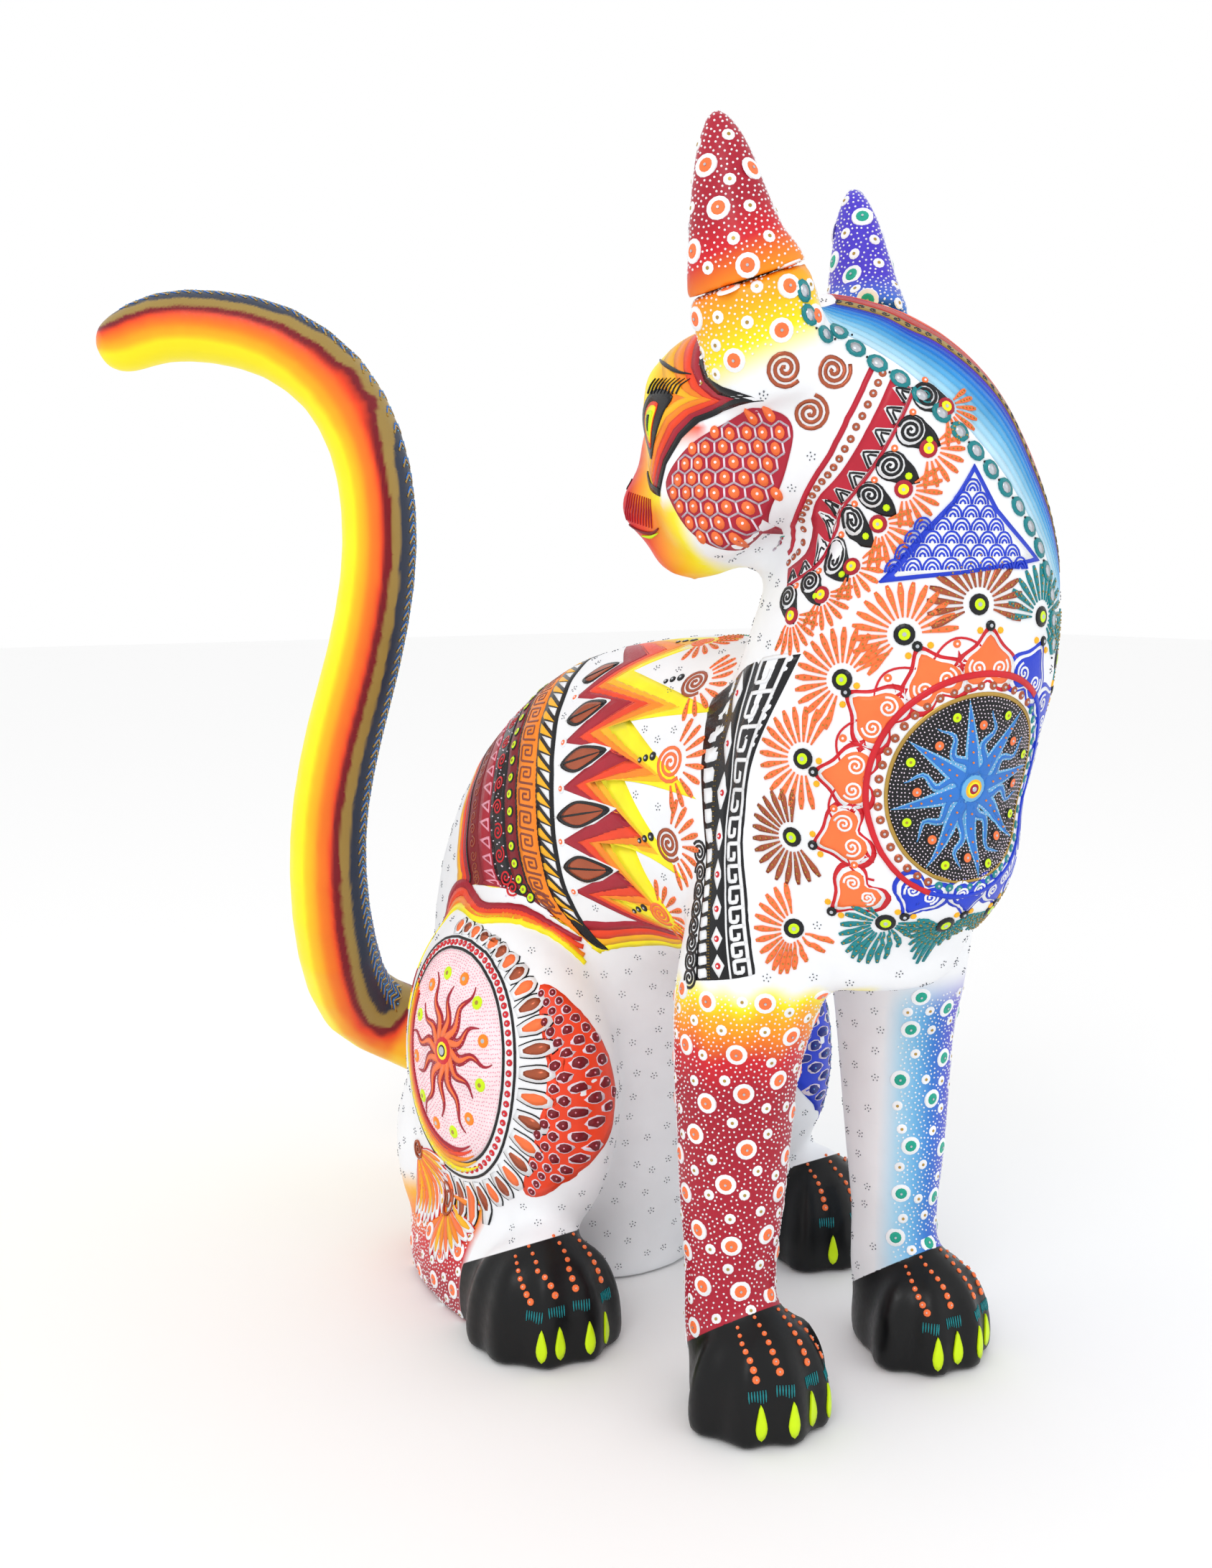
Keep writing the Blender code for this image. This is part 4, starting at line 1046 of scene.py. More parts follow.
def scallops():
    tri = [(-17.2, 323), (-24, 312), (-47, 288), (-20, 290), (10, 294), (-8, 310)]
    patch(body, chest_chart, tri, "royal", 2, (-18, 302), rings=6)
    inner = [(-17.3, 320.5), (-23.4, 310.6), (-42, 289.8), (-20, 291.2), (6.5, 294.8),
             (-9.2, 308.8)]
    patch(body, chest_chart, inner, "white", 3, (-18, 302), rings=5)
    for row in range(8):
        z = 291.5 + 3.9 * row
        half = (321 - z) * 0.86
        for k in range(-6, 7):
            u = -17.8 + k * 6.0 + (3.0 if row % 2 else 0)
            if -half + 1.0 < (u + 17.8) * (1.0 if u > -17.8 else 0.92) < half - 2.0:
                for r in (2.9, 1.9, 0.9):
                    a = np.linspace(0.0, math.pi, 7)
                    arc = np.stack([u + r * np.cos(a), z + 1.25 * r * np.sin(a)], 1)
                    stroke(body, chest_chart, arc, 0.62, "royal", 4, step=1.0)


# ---------------------------------------------------------------- shoulder band
BAND_REAR = [(-20, -85, 258), (-25, -96, 215), (-28, -102, 180), (-29, -106, 155)]
BAND_FRONT = [(-17, -139, 265), (-24, -119, 217), (-27, -124, 185), (-27, -130, 160)]


def across_middle(line):
    line = np.array(line, float)
    line[:, 0] = 2 * MIDDLE_X - line[:, 0]
    return line


def shoulder_band(rear, front):
    strip = between(curved(rear, 8), curved(front, 8))
    ends = np.linspace(0, 1, 30)

    def lane(t0, t1, paint, layer, parts):
        band(body, strip, np.stack([ends, np.full(30, t0)], 1),
             np.stack([ends, np.full(30, t1)], 1), paint, layer, 48, parts)
    lane(0.0, 0.60, "black", 0, 5)
    lane(0.58, 1.04, "black", 0, 3)
    for k in range(17):
        s = (k + 0.5) / 17
        patch(body, strip, [(s - 0.021, 0.05), (s - 0.026, 0.21), (s + 0.014, 0.22),
                            (s + 0.022, 0.05)], "white", 1, (s, 0.12), rings=1, sides=12)
    for t in (0.235, 0.265):
        for s in np.linspace(0.01, 0.99, 70):
            spot(body, strip, [(s, t)], 0.25, "gold", 1, 0.15, 5)
    for k in range(8):
        s = (k + 0.5) / 8
        patch(body, strip, [(s - 0.054, 0.42), (s, 0.31), (s + 0.054, 0.42), (s, 0.53)], "white", 1,
              (s, 0.42), rings=2)
        eye_dot(body, strip, (s, 0.42), [(1.15, "red"), (0.5, "white")], 2)
    stroke(body, strip, np.stack([ends, np.full(30, 0.61)], 1), 0.7, "white", 1)
    pitch = 1.0 / 13
    for k in range(13):
        s = k * pitch
        key = [(s, 0.95), (s, 0.70), (s + 0.70 * pitch, 0.70), (s + 0.70 * pitch, 0.84),
               (s + 0.36 * pitch, 0.84)]
        stroke(body, strip, spaced(key, 26), 1.35, "white", 1, step=0.9)
        stroke(body, strip, [(s, 0.95), (s + pitch, 0.95)], 1.3, "white", 1)


def curls_behind(rear):
    """Outlined spirals stacked behind the band."""
    line = curved(rear, 8)
    for k, place in enumerate(spaced(line[len(line) // 2:], 8)):
        chart = local_chart(body, place + (0, 4.2, 0))
        stroke(body, chart, spiral(4.2, 2.4, k * 0.8), 0.95, "black", 1, step=0.9)


# ---------------------------------------------------------------- flank
CUSPS = [(-20, 63), (-31, 43.5), (-42.5, 24), (-50, 1), (-48, -24)]
ROOTS = [(-5, 44), (-11, 23.7), (-16, 5), (-17.5, -16), (-20, -36)]
TIPS = [(-66, 84), (-91, 44), (-93, 10), (-85, -22), (-74, -50)]
NOTCHES = [(-33, 58), (-48, 36), (-52, 14), (-59, -12), (-51, -38)]
BASE_LINE = ((-75, -18), (-54, -17), (-8.5, -12), (10.7, -8), (48, 7), (75, 20), (95, 26))


def flames(side, tone):
    chart = flank_chart(side)
    inner, outer = [(0, 80)], [(-30, 84)]
    for k in range(5):
        inner += [CUSPS[k], ROOTS[k]]
        outer += [TIPS[k], NOTCHES[k]]
    inner.append((-50, -48))
    outer.append(TIPS[4])
    dense_in = np.vstack([spaced([a, b], 9)[:-1] for a, b in zip(inner, inner[1:])] + [inner[-1:]])
    dense_out = np.vstack([spaced([a, b], 9)[:-1] for a, b in zip(outer, outer[1:])]
                          + [outer[-1:]])
    steps = ((0.0, 0.25, "dark_red"), (0.23, 0.41, "orange_red"), (0.39, 0.56, "orange"),
             (0.54, 0.68, "gold_yellow"), (0.66, 1.0, "yellow"))
    for low, high, paint in steps:
        band(body, chart, dense_in + (dense_out - dense_in) * low,
             dense_in + (dense_out - dense_in) * high, tone(paint), 0, 88, 3)
    for k in range(5):
        tip = np.array(CUSPS[k], float)
        foot = np.array(ROOTS[k], float) + (4, 9)
        leaf_way = tip - foot
        wide = np.array((0.9, 5.6))
        leaf = [foot, foot + leaf_way * 0.3 + wide, foot + leaf_way * 0.62 + wide * 0.8,
                foot + leaf_way * 0.97, foot + leaf_way * 0.62 - wide * 0.8,
                foot + leaf_way * 0.3 - wide]
        patch(body, chart, foot + (np.array(leaf) - foot) * 1.06 + (0.4, 0), "white", 1,
              foot + leaf_way * 0.4)
        shape = curved(leaf, 4, True)
        centre = foot + leaf_way * 0.42
        patch(body, chart, centre + (shape - centre) * 0.92, "black", 2, centre)
        patch(body, chart, centre + (shape - centre) * 0.72, tone("copper"), 3, centre)
        stroke(body, chart, [foot + leaf_way * 0.1, foot + leaf_way * 0.85], 0.8, "black", 4,
               (1, 1, 0.3))
        eye_dot(body, chart, ROOTS[k], [(1.9, "white"), (1.4, tone("coral")), (0.5, "white")], 2)
    curls = [(-52, 78, 4.6), (-72, 55, 6.2), (-77, 22, 7.0), (-79, -9, 6.4), (-64, -41, 5.4)]
    front = 0.0 if side < 0 else math.pi
    for k, (y, psi, size) in enumerate(curls):
        near = local_chart(body, body.snap(chart([(y, psi)]))[0][0])
        stroke(body, near, spiral(size, 2.8, 0.5), 1.25, tone("copper" if k % 2 else "coral"), 1,
               step=1.0)
        for j, gap in enumerate((size + 3.0, size + 6.6, size + 9.6)):
            eye_dot(body, chart, (y + gap, psi + 1.5 - 1.2 * j),
                    [(1.7 - 0.3 * j, "black"), (0.6, "silver")], 1)
        fan(body, near, (0, 0), front, math.radians(150), 9, size + 1.2, size + 10.5, 2.3,
            tone("coral"))


def base_at(psi):
    return np.interp(psi, [b[0] for b in BASE_LINE], [b[1] for b in BASE_LINE])


def rump_chart(side):
    """Over the hips: how far behind the flames, spreading towards the back, and degrees up."""
    chart = flank_chart(side)

    def inner(uv):
        uv = np.asarray(uv, float)
        grow = 1 + 0.42 * np.clip((uv[:, 1] + 48) / 75, 0, 1.4)
        return chart(np.stack([base_at(uv[:, 1]) + uv[:, 0] * grow, uv[:, 1]], 1))
    return inner


def hips(side, tone):
    chart = rump_chart(side)
    psi = np.linspace(-63, 88, 40)

    def lane(a, b, paint, layer, parts):
        band(body, chart, np.stack([np.full(40, a), psi], 1), np.stack([np.full(40, b), psi], 1),
             paint, layer, 70, parts)
    lane(-1.2, 8.5, "black", 1, 4)
    for k in range(20):
        p = -53 + 7.1 * k
        patch(body, chart, [(0.4, p), (7.6, p + 1.6), (7.6, p + 6.2)], tone("gold_yellow"), 2,
              (5.2, p + 2.8))
        patch(body, chart, [(1.0, p + 6.6), (0.9, p + 2.6), (6.4, p + 7.6)], "white", 2,
              (2.6, p + 5.4), rings=1, sides=9)
    lane(8.3, 19.6, tone("orange"), 1, 4)
    for k in range(15):
        p = -51 + 9.3 * k
        key = [(10, p), (18, p), (18, p + 6.8), (11.6, p + 6.8), (11.6, p + 2.6), (15.8, p + 2.6),
               (15.8, p + 4.8), (13.4, p + 4.8)]
        stroke(body, chart, spaced(key, 30), 0.85, tone("brown"), 2, step=0.9)
    lane(19.4, 20.6, "black", 1, 1)
    lane(20.4, 27.2, tone("maroon"), 1, 3)
    for k in range(19):
        p = -52 + 7.3 * k
        eye_dot(body, chart, (23.8, p), [(2.4, "black"), (2.0, "lime"), (0.8, "gold")], 2)
    lane(27.0, 37.4, "black", 1, 4)
    for k in range(13):
        p = -50 + 10.6 * k
        at = body.snap(chart([(32.2, p)]))[0][0]
        near = local_chart(body, at)
        stroke(body, near, spiral(3.5, 1.9, k), 0.8, tone("red"), 2, step=0.9)
        for j in range(6):
            a = j * math.pi / 3
            spot(body, near, [(4.6 * math.cos(a), 4.6 * math.sin(a))], 0.4, "lilac", 2, 0.2, 5)
    lane(37.2, 46.5, tone("dark_red"), 1, 3)
    for k in range(17):
        p = -52 + 8.2 * k
        patch(body, chart, [(38.2, p), (45.6, p + 3.2), (38.2, p + 6.4)], tone("pink"), 2,
              (40.4, p + 3.2))
        patch(body, chart, [(39.0, p + 1.6), (43.0, p + 3.2), (39.0, p + 4.8)], "dark_red", 3,
              (40.2, p + 3.2), rings=1, sides=9)
    lane(46.3, 56.5, tone("maroon"), 1, 4)
    for k in range(22):
        p = -52 + 6.3 * k
        at = body.snap(chart([(51.5, p)]))[0][0]
        near = local_chart(body, at)
        stroke(body, near, spiral(2.6, 1.5, k * 1.3), 0.6, tone("copper"), 2, step=0.8)
    lane(56.3, 57.4, "black", 2, 1)
    lane(57.2, 60.5, tone("dark_red"), 1, 2)
    lane(60.3, 64.0, tone("orange_red"), 1, 2)
    lane(63.8, 67.0, tone("gold_yellow"), 1, 2)


def belly_border(side, tone):
    chart = flank_chart(side)
    top = np.array([(-72, -52), (-50, -47), (-20, -50), (5, -56), (25, -54), (40, -48)], float)
    tops = curved(top, 6)
    depths = (0, 3.6, 7.0, 10.2, 13.0)
    for k, paint in enumerate(("dark_red", "orange_red", "gold_yellow", "yellow")):
        taper = np.interp(np.linspace(0, 1, len(tops)), (0, 0.12, 1), (0.2, 1, 1))
        a = tops - np.stack([np.zeros(len(tops)), depths[k] * taper], 1)
        b = tops - np.stack([np.zeros(len(tops)), depths[k + 1] * taper], 1)
        band(body, chart, a, b, tone(paint), 0, 60, 2)
    over = np.array([(-16, -20, 151), (-22, 2, 155), (-33, 20, 158), (-34, 36, 163),
                     (-33, 50, 164), (-36, 62, 156), (-44, 66, 140), (-50, 62, 120)], float)
    if side > 0:
        over = across_middle(over)
    for k, paint in enumerate(("dark_red", "orange_red", "orange", "yellow")):
        stroke(body, itself, curved(over + (0, -1.0 * k, -2.9 * k), 5), 3.6, tone(paint), 3,
               (0.5, 1, 1, 1, 1, 0.7))


# ---------------------------------------------------------------- haunch
def haunch(side, tone):
    chart = haunch_chart(side)
    centre, tilt = np.array((1.0, 106.0)), math.radians(8)
    c, s = math.cos(tilt), math.sin(tilt)

    def oval(scale, count=80):
        a = np.linspace(0, 2 * math.pi, count, endpoint=False)
        p = np.stack([36.0 * np.cos(a), 47.0 * np.sin(a)], 1) * scale
        return p @ np.array(((c, s), (-s, c))) + centre

    def closed(p):
        return np.vstack([p, p[:1]])
    patch(body, chart, oval(0.97), tone("sun_pink") if tone is reds else "white", 0, centre)
    stroke(body, chart, closed(oval(0.98)), 1.1, "black", 1)
    for p in spaced(closed(oval(1.05)), 74)[:-1]:
        eye_dot(body, chart, p, [(1.35, tone("red")), (0.5, "silver")], 1)
    stroke(body, chart, closed(oval(1.12)), 1.1, "black", 1)
    for k, p in enumerate(spaced(closed(oval(1.15)), 42)[:-1]):
        way = p - centre
        way /= np.linalg.norm(way)
        if way[0] < -0.35:
            continue
        colour = tone("coral") if k % 2 else tone("copper")
        line = [p + way * r for r in np.linspace(0.8, 13.2, 8)]
        stroke(body, chart, line, 7.3, "black", 1, (0.62, 0.78, 0.9, 1, 1, 0.9, 0.5))
        stroke(body, chart, line, 6.2, "white", 2, (0.60, 0.76, 0.9, 1, 1, 0.85, 0.35))
        stroke(body, chart, line[1:-1], 4.2, colour, 3, (0.3, 0.6, 0.8, 1, 1, 0.8, 0.3))
    rng = np.random.default_rng(11)
    dots = []
    for ring in np.arange(0.14, 0.95, 0.032):
        for p in spaced(closed(oval(ring)), int(4 + ring * 150))[:-1]:
            dots.append(p + rng.uniform(-0.25, 0.25, 2))
    spot(body, chart, dots, 0.28, tone("pink"), 1, 0.12, 5)
    for k in range(12):
        a = k * math.pi / 6
        way, out = np.array((math.cos(a), math.sin(a))), np.array((-math.sin(a), math.cos(a)))
        reach = 24 if k % 2 else 30
        wavy = [centre + way * r * (1, 1.15) + out * 1.5 * math.sin(r * 0.42)
                for r in np.linspace(4, reach, 14)]
        stroke(body, chart, wavy, 6.2, tone("dark_red"), 2, (1.0, 0.8, 0.5, 0.25, 0.06))
        stroke(body, chart, wavy[:10], 3.2, tone("coral"), 3, (1.0, 0.75, 0.35, 0.06))
        eye_dot(body, chart, centre + np.array((math.cos(a + 0.26) * 25, math.sin(a + 0.26) * 33)),
                [(2.7, "lime" if k % 2 else tone("orange")), (1.1, "gold" if k % 2 else "silver")],
                2)
    eye_dot(body, chart, centre, [(5.6, tone("red")), (4.4, "yellow"), (3.0, "black"),
                                  (2.2, "silver")], 3)
    cells = [(48, 138), (55, 135), (63, 121), (67, 102), (65, 83), (58, 68), (49, 58), (43, 59),
             (47, 73), (52, 90), (53, 107), (49, 124)]
    outline = curved(cells, 4, True)
    patch(body, chart, outline, tone("orange_red"), 1, (57, 98), rings=8)
    for row in range(22):
        for col in range(8):
            p = np.array((40 + col * 4.3 + (2.15 if row % 2 else 0), 56 + row * 3.9))
            if inside_line(p, outline, 1.9):
                place = ring_line(1.0, 12) * (1.45, 2.0)
                patch(body, chart, place + p, "lilac_white", 2, p, rings=1, sides=12)
                patch(body, chart, place * 0.80 + p, tone("maroon"), 3, p, rings=1, sides=12)
                spot(body, chart, [p], 0.42, tone("pink"), 4, 0.2, 5)
    for paint, scale in (("yellow", 1.04), ("gold_yellow", 0.99), ("orange", 0.94),
                         ("orange_red", 0.89), ("dark_red", 0.85)):
        stroke(body, chart, oval(scale, 96)[40:79], 2.9, tone(paint), 3,
               (0.3, 0.7, 1, 1.1, 1, 0.15))
    for hub, facing, count, reach in (((-35, 55), -46, 12, 30), ((-8, 43), -46, 9, 24)):
        for k in range(count):
            a = math.radians(facing - 48 + 96 * k / (count - 1))
            way = np.array((math.cos(a), math.sin(a)))
            line = [np.array(hub) + way * r for r in np.linspace(5, reach, 8)]
            colour = ("coral", "gold_yellow", "orange")[k % 3]
            stroke(body, chart, line, 4.9, tone("red"), 2, (0.35, 0.6, 0.8, 0.95, 1, 0.95, 0.5))
            stroke(body, chart, line, 3.9, "white", 3, (0.30, 0.55, 0.8, 0.95, 1, 0.9, 0.4))
            stroke(body, chart, line[:-1], 2.6, tone(colour), 4, (0.3, 0.6, 0.8, 1, 1, 0.8, 0.3))
        stroke(body, chart, spiral(4.6, 2.0, 0.4) + hub, 1.0, tone("copper"), 5, step=1.0)


def inside_line(p, outline, margin):
    """Whether a plan place is inside an outline and clear of its edge."""
    a, b = outline, np.roll(outline, -1, axis=0)
    crosses = (a[:, 1] > p[1]) != (b[:, 1] > p[1])
    with np.errstate(divide="ignore", invalid="ignore"):
        x = a[:, 0] + (p[1] - a[:, 1]) * (b[:, 0] - a[:, 0]) / (b[:, 1] - a[:, 1])
    return bool((crosses & (p[0] < x)).sum() % 2) and \
        np.linalg.norm(outline - p, axis=1).min() > margin


# ---------------------------------------------------------------- face
MASK_LINES = [
    [(-6, 32), (-8, 25), (-9.5, 19), (-14, 13.5), (-22, 9.3), (-35, 4.8), (-19, 3), (-10, 0.5),
     (-3, -4), (4, -11.5), (7.5, -20)],
    [(-3, 32), (-5, 25), (-7, 19), (-11.5, 12.5), (-19, 7.6), (-26, 5.6), (-17, 4.3), (-8, 2),
     (-1.5, -2.5), (5.5, -10), (9.5, -19)],
    [(0.5, 32), (-2, 24), (-4, 18), (-9, 11.5), (-15, 7.5), (-19, 6), (-13, 5), (-6, 3),
     (0.5, -1), (7, -8.5), (11.5, -17.5)],
    [(4, 31), (2, 24), (-1, 17.5), (-6, 11), (-11, 8), (-15, 6.8), (-10, 6), (-4, 4.5),
     (2.5, 1), (9, -6.5), (13.5, -15.5)],
    [(8, 30), (7, 24), (3, 17), (-2, 11.3), (-6, 8.8), (-10, 7.6), (-6, 7), (-2, 5.8),
     (4, 3), (11, -4), (15.5, -13)],
    [(13, 27), (12, 22), (8, 15.5), (4, 11.5), (0, 9.6), (-4, 8.3), (-1, 7.8), (1, 7),
     (6, 5), (12.5, -2), (18, -10)]]
CHEEK = [(4, -17), (-3, -8.7), (-13, -2.7), (-25, 2), (-32, 3.2), (-38, 1.2), (-39.3, -4.5),
         (-35, -14), (-28, -24), (-23, -32), (-16, -37), (-10.5, -37), (-4, -32.5), (1, -25)]


def face(side, tone):
    chart = face_chart(body, side)
    for a, b, paint in zip(MASK_LINES, MASK_LINES[1:],
                           ("black", "dark_red", "orange_red", "orange", "gold_yellow")):
        rows = []
        for line in (a, b):
            line = np.array(line, float)
            rows.append(np.vstack([spaced(line[i:i + 2], 5)[:-1] for i in range(len(line) - 1)]
                                  + [line[-1:]]))
        band(body, chart, rows[0], rows[1], tone(paint), 1, len(rows[0]) - 1, 2)
    lid = curved([(1.5, 9.2), (7, 12.2), (13, 12.5), (18, 9), (19, 3), (17, -4), (13.5, -9),
                  (11, -5), (7.5, 1), (4.5, 5.5)], 4, True)
    patch(body, chart, lid, "black", 2, (11.5, 4))
    iris = curved([(8.5, 7.8), (13, 9), (16.5, 6), (16.6, 0), (13.6, -5.6), (12.2, -1),
                   (10.4, 3.6)], 4, True)
    patch(body, chart, iris, tone("orange_red"), 3, (13, 3))
    patch(body, chart, (iris - (13, 3)) * 0.80 + (13, 3), tone("yellow"), 4, (13, 3))
    patch(body, chart, (iris - (13, 3)) * 0.56 + (13.3, 3), "lime", 5, (13.3, 3))
    patch(body, chart, (iris - (13, 3)) * (0.24, 0.42) + (14, 3), "black", 6, (14, 3))
    for k in range(9):
        foot = np.array((16.0 - 2.0 * k, 12.2 - 0.30 * k))
        stroke(body, chart, [foot, foot + (-1.4, 2.6), foot + (-3.4 - 0.2 * k, 4.4)], 0.75,
               "black", 3, (1, 0.7, 0.1), step=1.0)
    stroke(body, chart, curved([(16, 24), (8, 20), (1, 17), (-5, 15.6)], 5), 1.3, "black", 3,
           (0.3, 1, 1, 0.15))
    stroke(body, chart, [(7.5, -20), (15, -17), (19, -12)], 2.4, "black", 2, (1, 1, 0.4))
    for k in range(11):
        root = np.array((29.5 - 1.35 * k, -17.5 - 0.35 * k))
        stroke(body, chart, [root, root + (0.6, -4.2), root + (2.2, -9.0)], 0.7, tone("dark_red"),
               2, (0.3, 1, 0.2), step=1.2)
    stroke(body, chart, curved([(14.5, -30.2), (19, -31.4), (25, -30.4), (31, -28)], 5), 1.0,
           "maroon", 3, (0.5, 1, 1, 0.6))
    stroke(body, chart, [(15.5, -31.6), (20, -32.6), (25, -31.8)], 1.2, "lime", 3, (0.2, 1, 0.3))
    nostril = curved([(31, -13), (34, -12.4), (36, -14.4), (33, -15.6)], 3, True)
    patch(body, chart, nostril, "black", 2, (33.4, -13.9), rings=1)
    outline = curved(CHEEK, 4, True)
    if side < 0:
        outline = (outline + (6, 12)) * 0.78 - (6, 12)
        outline[:, 0] = np.maximum(outline[:, 0], -24)
    patch(body, chart, outline, tone("cell_red"), 1, (-17, -16), rings=14)
    rng = np.random.default_rng(3)
    pitch, rows = 5.2, 11
    tall = pitch * 0.86
    jitter = rng.uniform(-0.45, 0.45, (rows, 12, 2))
    spots = {}
    for row in range(rows):
        for col in range(12):
            spots[row, col] = np.array((-46 + col * pitch + (pitch / 2 if row % 2 else 0),
                                        6 - row * tall)) + jitter[row, col]
    for (row, col), p in spots.items():
        step = 0 if row % 2 else -1
        around = [spots.get(k) for k in ((row, col + 1), (row + 1, col + 1 + step),
                                         (row + 1, col + step), (row, col - 1),
                                         (row - 1, col + step), (row - 1, col + 1 + step))]
        corners = [(p + around[i] + around[(i + 1) % 6]) / 3 for i in range(6)
                   if around[i] is not None and around[(i + 1) % 6] is not None]
        for q, r in zip(corners, corners[1:]):
            if inside_line(q, outline, 0.3) and inside_line(r, outline, 0.3):
                stroke(body, chart, [q, r], 0.62, "lilac_white", 2, step=1.6)
        if p[0] > -36.5 and inside_line(p, outline, 1.3):
            seed = ring_line(1.0, 12) * (1.5, 1.95)
            patch(body, chart, seed + p, tone("coral"), 2, p, rings=1, sides=12, rise=0.15)
            spot(body, chart, [p + (0, 0.3)], 0.6, "white", 4, 0.2, 6)


def cheek_curls():
    """Copper spirals behind the cheek."""
    for k, place in enumerate([(-34.8, -151.2, 350), (-19.7, -155.4, 350), (-23.8, -150.6, 338)]):
        chart = local_chart(body, place)
        stroke(body, chart, spiral(5.6, 2.7, 1.2 + k), 1.15, "copper", 1, step=0.9)


# ---------------------------------------------------------------- paws and tail
def paw_marks(cx, cy, top, reach):
    """Rows of coral dots growing towards the toes, a striped teal mark and a lime claw."""
    for k in range(4):
        across = (k - 1.5) * 10.0
        path = [(cx + across * 0.72, cy - 2, top - 5), (cx + across * 0.88, cy - reach * 0.34,
                top - 10), (cx + across, cy - reach * 0.66, top - 16)]
        path = body.snap(curved(path, 4))[0]
        for j, p in enumerate(spaced(path, 7)):
            size = 0.65 + 0.12 * j
            at, nor = body.snap([p])
            body.dots("coral", at, nor, size, 1, 0.4, 10)
            body.dots("silver", at, nor, size * 0.28, 3, 0.42, 5)
        toe = np.array((cx + across * 1.10, cy - reach * 0.80, top - 21))
        at, _ = body.snap([toe])
        chart = local_chart(body, at[0])
        for j in range(7):
            stroke(body, chart, [(-3 + j, 0.5 * math.sin(j) - 1.6), (-3 + j * 1.02, 2.2)], 0.5,
                   "teal", 1, (0.4, 1, 0.5), step=1.0)
        claw = np.array((cx + across * 1.16, cy - reach - 2.0, 10.0))
        at, _ = body.snap([claw])
        chart = local_chart(body, at[0])
        drop = curved([(0, 6.6), (1.4, 2.4), (2.1, -1.8), (1.3, -4.8), (0, -6.0), (-1.3, -4.8),
                       (-2.1, -1.8), (-1.4, 2.4)], 3, True)
        patch(body, chart, drop, "lime", 1, (0, -1), rings=2, rise=0.3)


TAIL_LINE = [(-46, 36, 27), (-64, 20, 58), (-72, 11, 94), (-70, 9, 126), (-64, 6, 158),
             (-57, 1, 190), (-52, -2, 223), (-51, -3, 254), (-55, 0, 282), (-66, 7, 307),
             (-84, 21, 323), (-106, 36, 330), (-124, 49, 330), (-137, 59, 324)]


def ridge_points():
    """Evenly spaced places along the tail's back."""
    middle = spaced(curved(TAIL_ROOT + np.array(TAIL_LINE, float), 6), 84)
    return middle + tail_back(middle) * 15.0


def tail_marks():
    """A zigzag of fine lines and beads up the tail's back."""
    points = ridge_points()
    runs = np.gradient(points, axis=0)
    for p, way in zip(points, runs):
        chart = local_chart(tail, p, up=way)
        stroke(tail, chart, [(-8.5, -1.8), (-4.2, 1.8), (0, -1.8), (4.2, 1.8), (8.5, -1.8)], 0.9,
               "gold", 1, step=1.3)
        stroke(tail, chart, [(-7.5, -0.2), (-4.2, 2.9), (0, -0.2), (4.2, 2.9), (7.5, -0.2)], 0.6,
               "mid_blue", 1, step=1.3)
        spot(tail, chart, [(-4.2, -0.8), (4.2, -0.8), (0, 2.2)], 0.45, "sky", 1, 0.2, 6)


# ---------------------------------------------------------------- painting everything
chest()
collar(COLLAR, reds, 1)
collar(mirrored(COLLAR[:-6]), blues, -1)
nape()
scallops()
for band_rear, band_front in ((BAND_REAR, BAND_FRONT),
                              (across_middle(BAND_REAR), across_middle(BAND_FRONT))):
    shoulder_band(band_rear, band_front)
    curls_behind(band_rear)
for which, tone in ((-1, reds), (1, blues)):
    flames(which, tone)
    hips(which, tone)
    belly_border(which, tone)
    haunch(which, tone)
face(1, reds)
face(-1, blues)
cheek_curls()
for apart, ahead, top, reach in ((41, -118, 40, 25), (74, -30, 42, 24)):
    for which in (-1, 1):
        paw_marks(MIDDLE_X + which * apart, ahead, top, reach)
tail_marks()
dotted_field(body, lambda p, n: (p[:, 0] < 14) & (p[:, 1] < -79) & (p[:, 2] < 152)
             & (p[:, 2] > fore_paw_top(p[:, 1]) + 1.5), 101)
dotted_field(body, lambda p, n: (p[:, 0] > 46) & (p[:, 1] < -79) & (p[:, 2] < 140)
             & (((p[:, 0] - 70.5) * 0.809 - (p[:, 1] + 103) * 0.588) / 20 > -0.12)
             & (p[:, 2] > fore_paw_top(p[:, 1]) + 1.5), 201, "teal_bright")
dotted_field(body, lambda p, n: (p[:, 0] < -24) & (p[:, 1] > 1) & (p[:, 2] < 34 - 0.2 * p[:, 1])
             & (n[:, 2] > -0.6), 301)
dotted_field(body, lambda p, n: (p[:, 0] > 84) & (p[:, 1] > 1) & (p[:, 2] < 34 - 0.2 * p[:, 1])
             & (n[:, 2] > -0.6), 401, "teal_bright")
dotted_field(ear_near, lambda p, n: p[:, 2] > 379, 501)
dotted_field(ear_far, lambda p, n: p[:, 2] > 376, 601, "teal_bright")
dotted_field(body, lambda p, n: (np.hypot(p[:, 0] + 43, p[:, 1] + 138) < 24)
             & (p[:, 2] < 375) & (ear_height(p) > 352), 701)


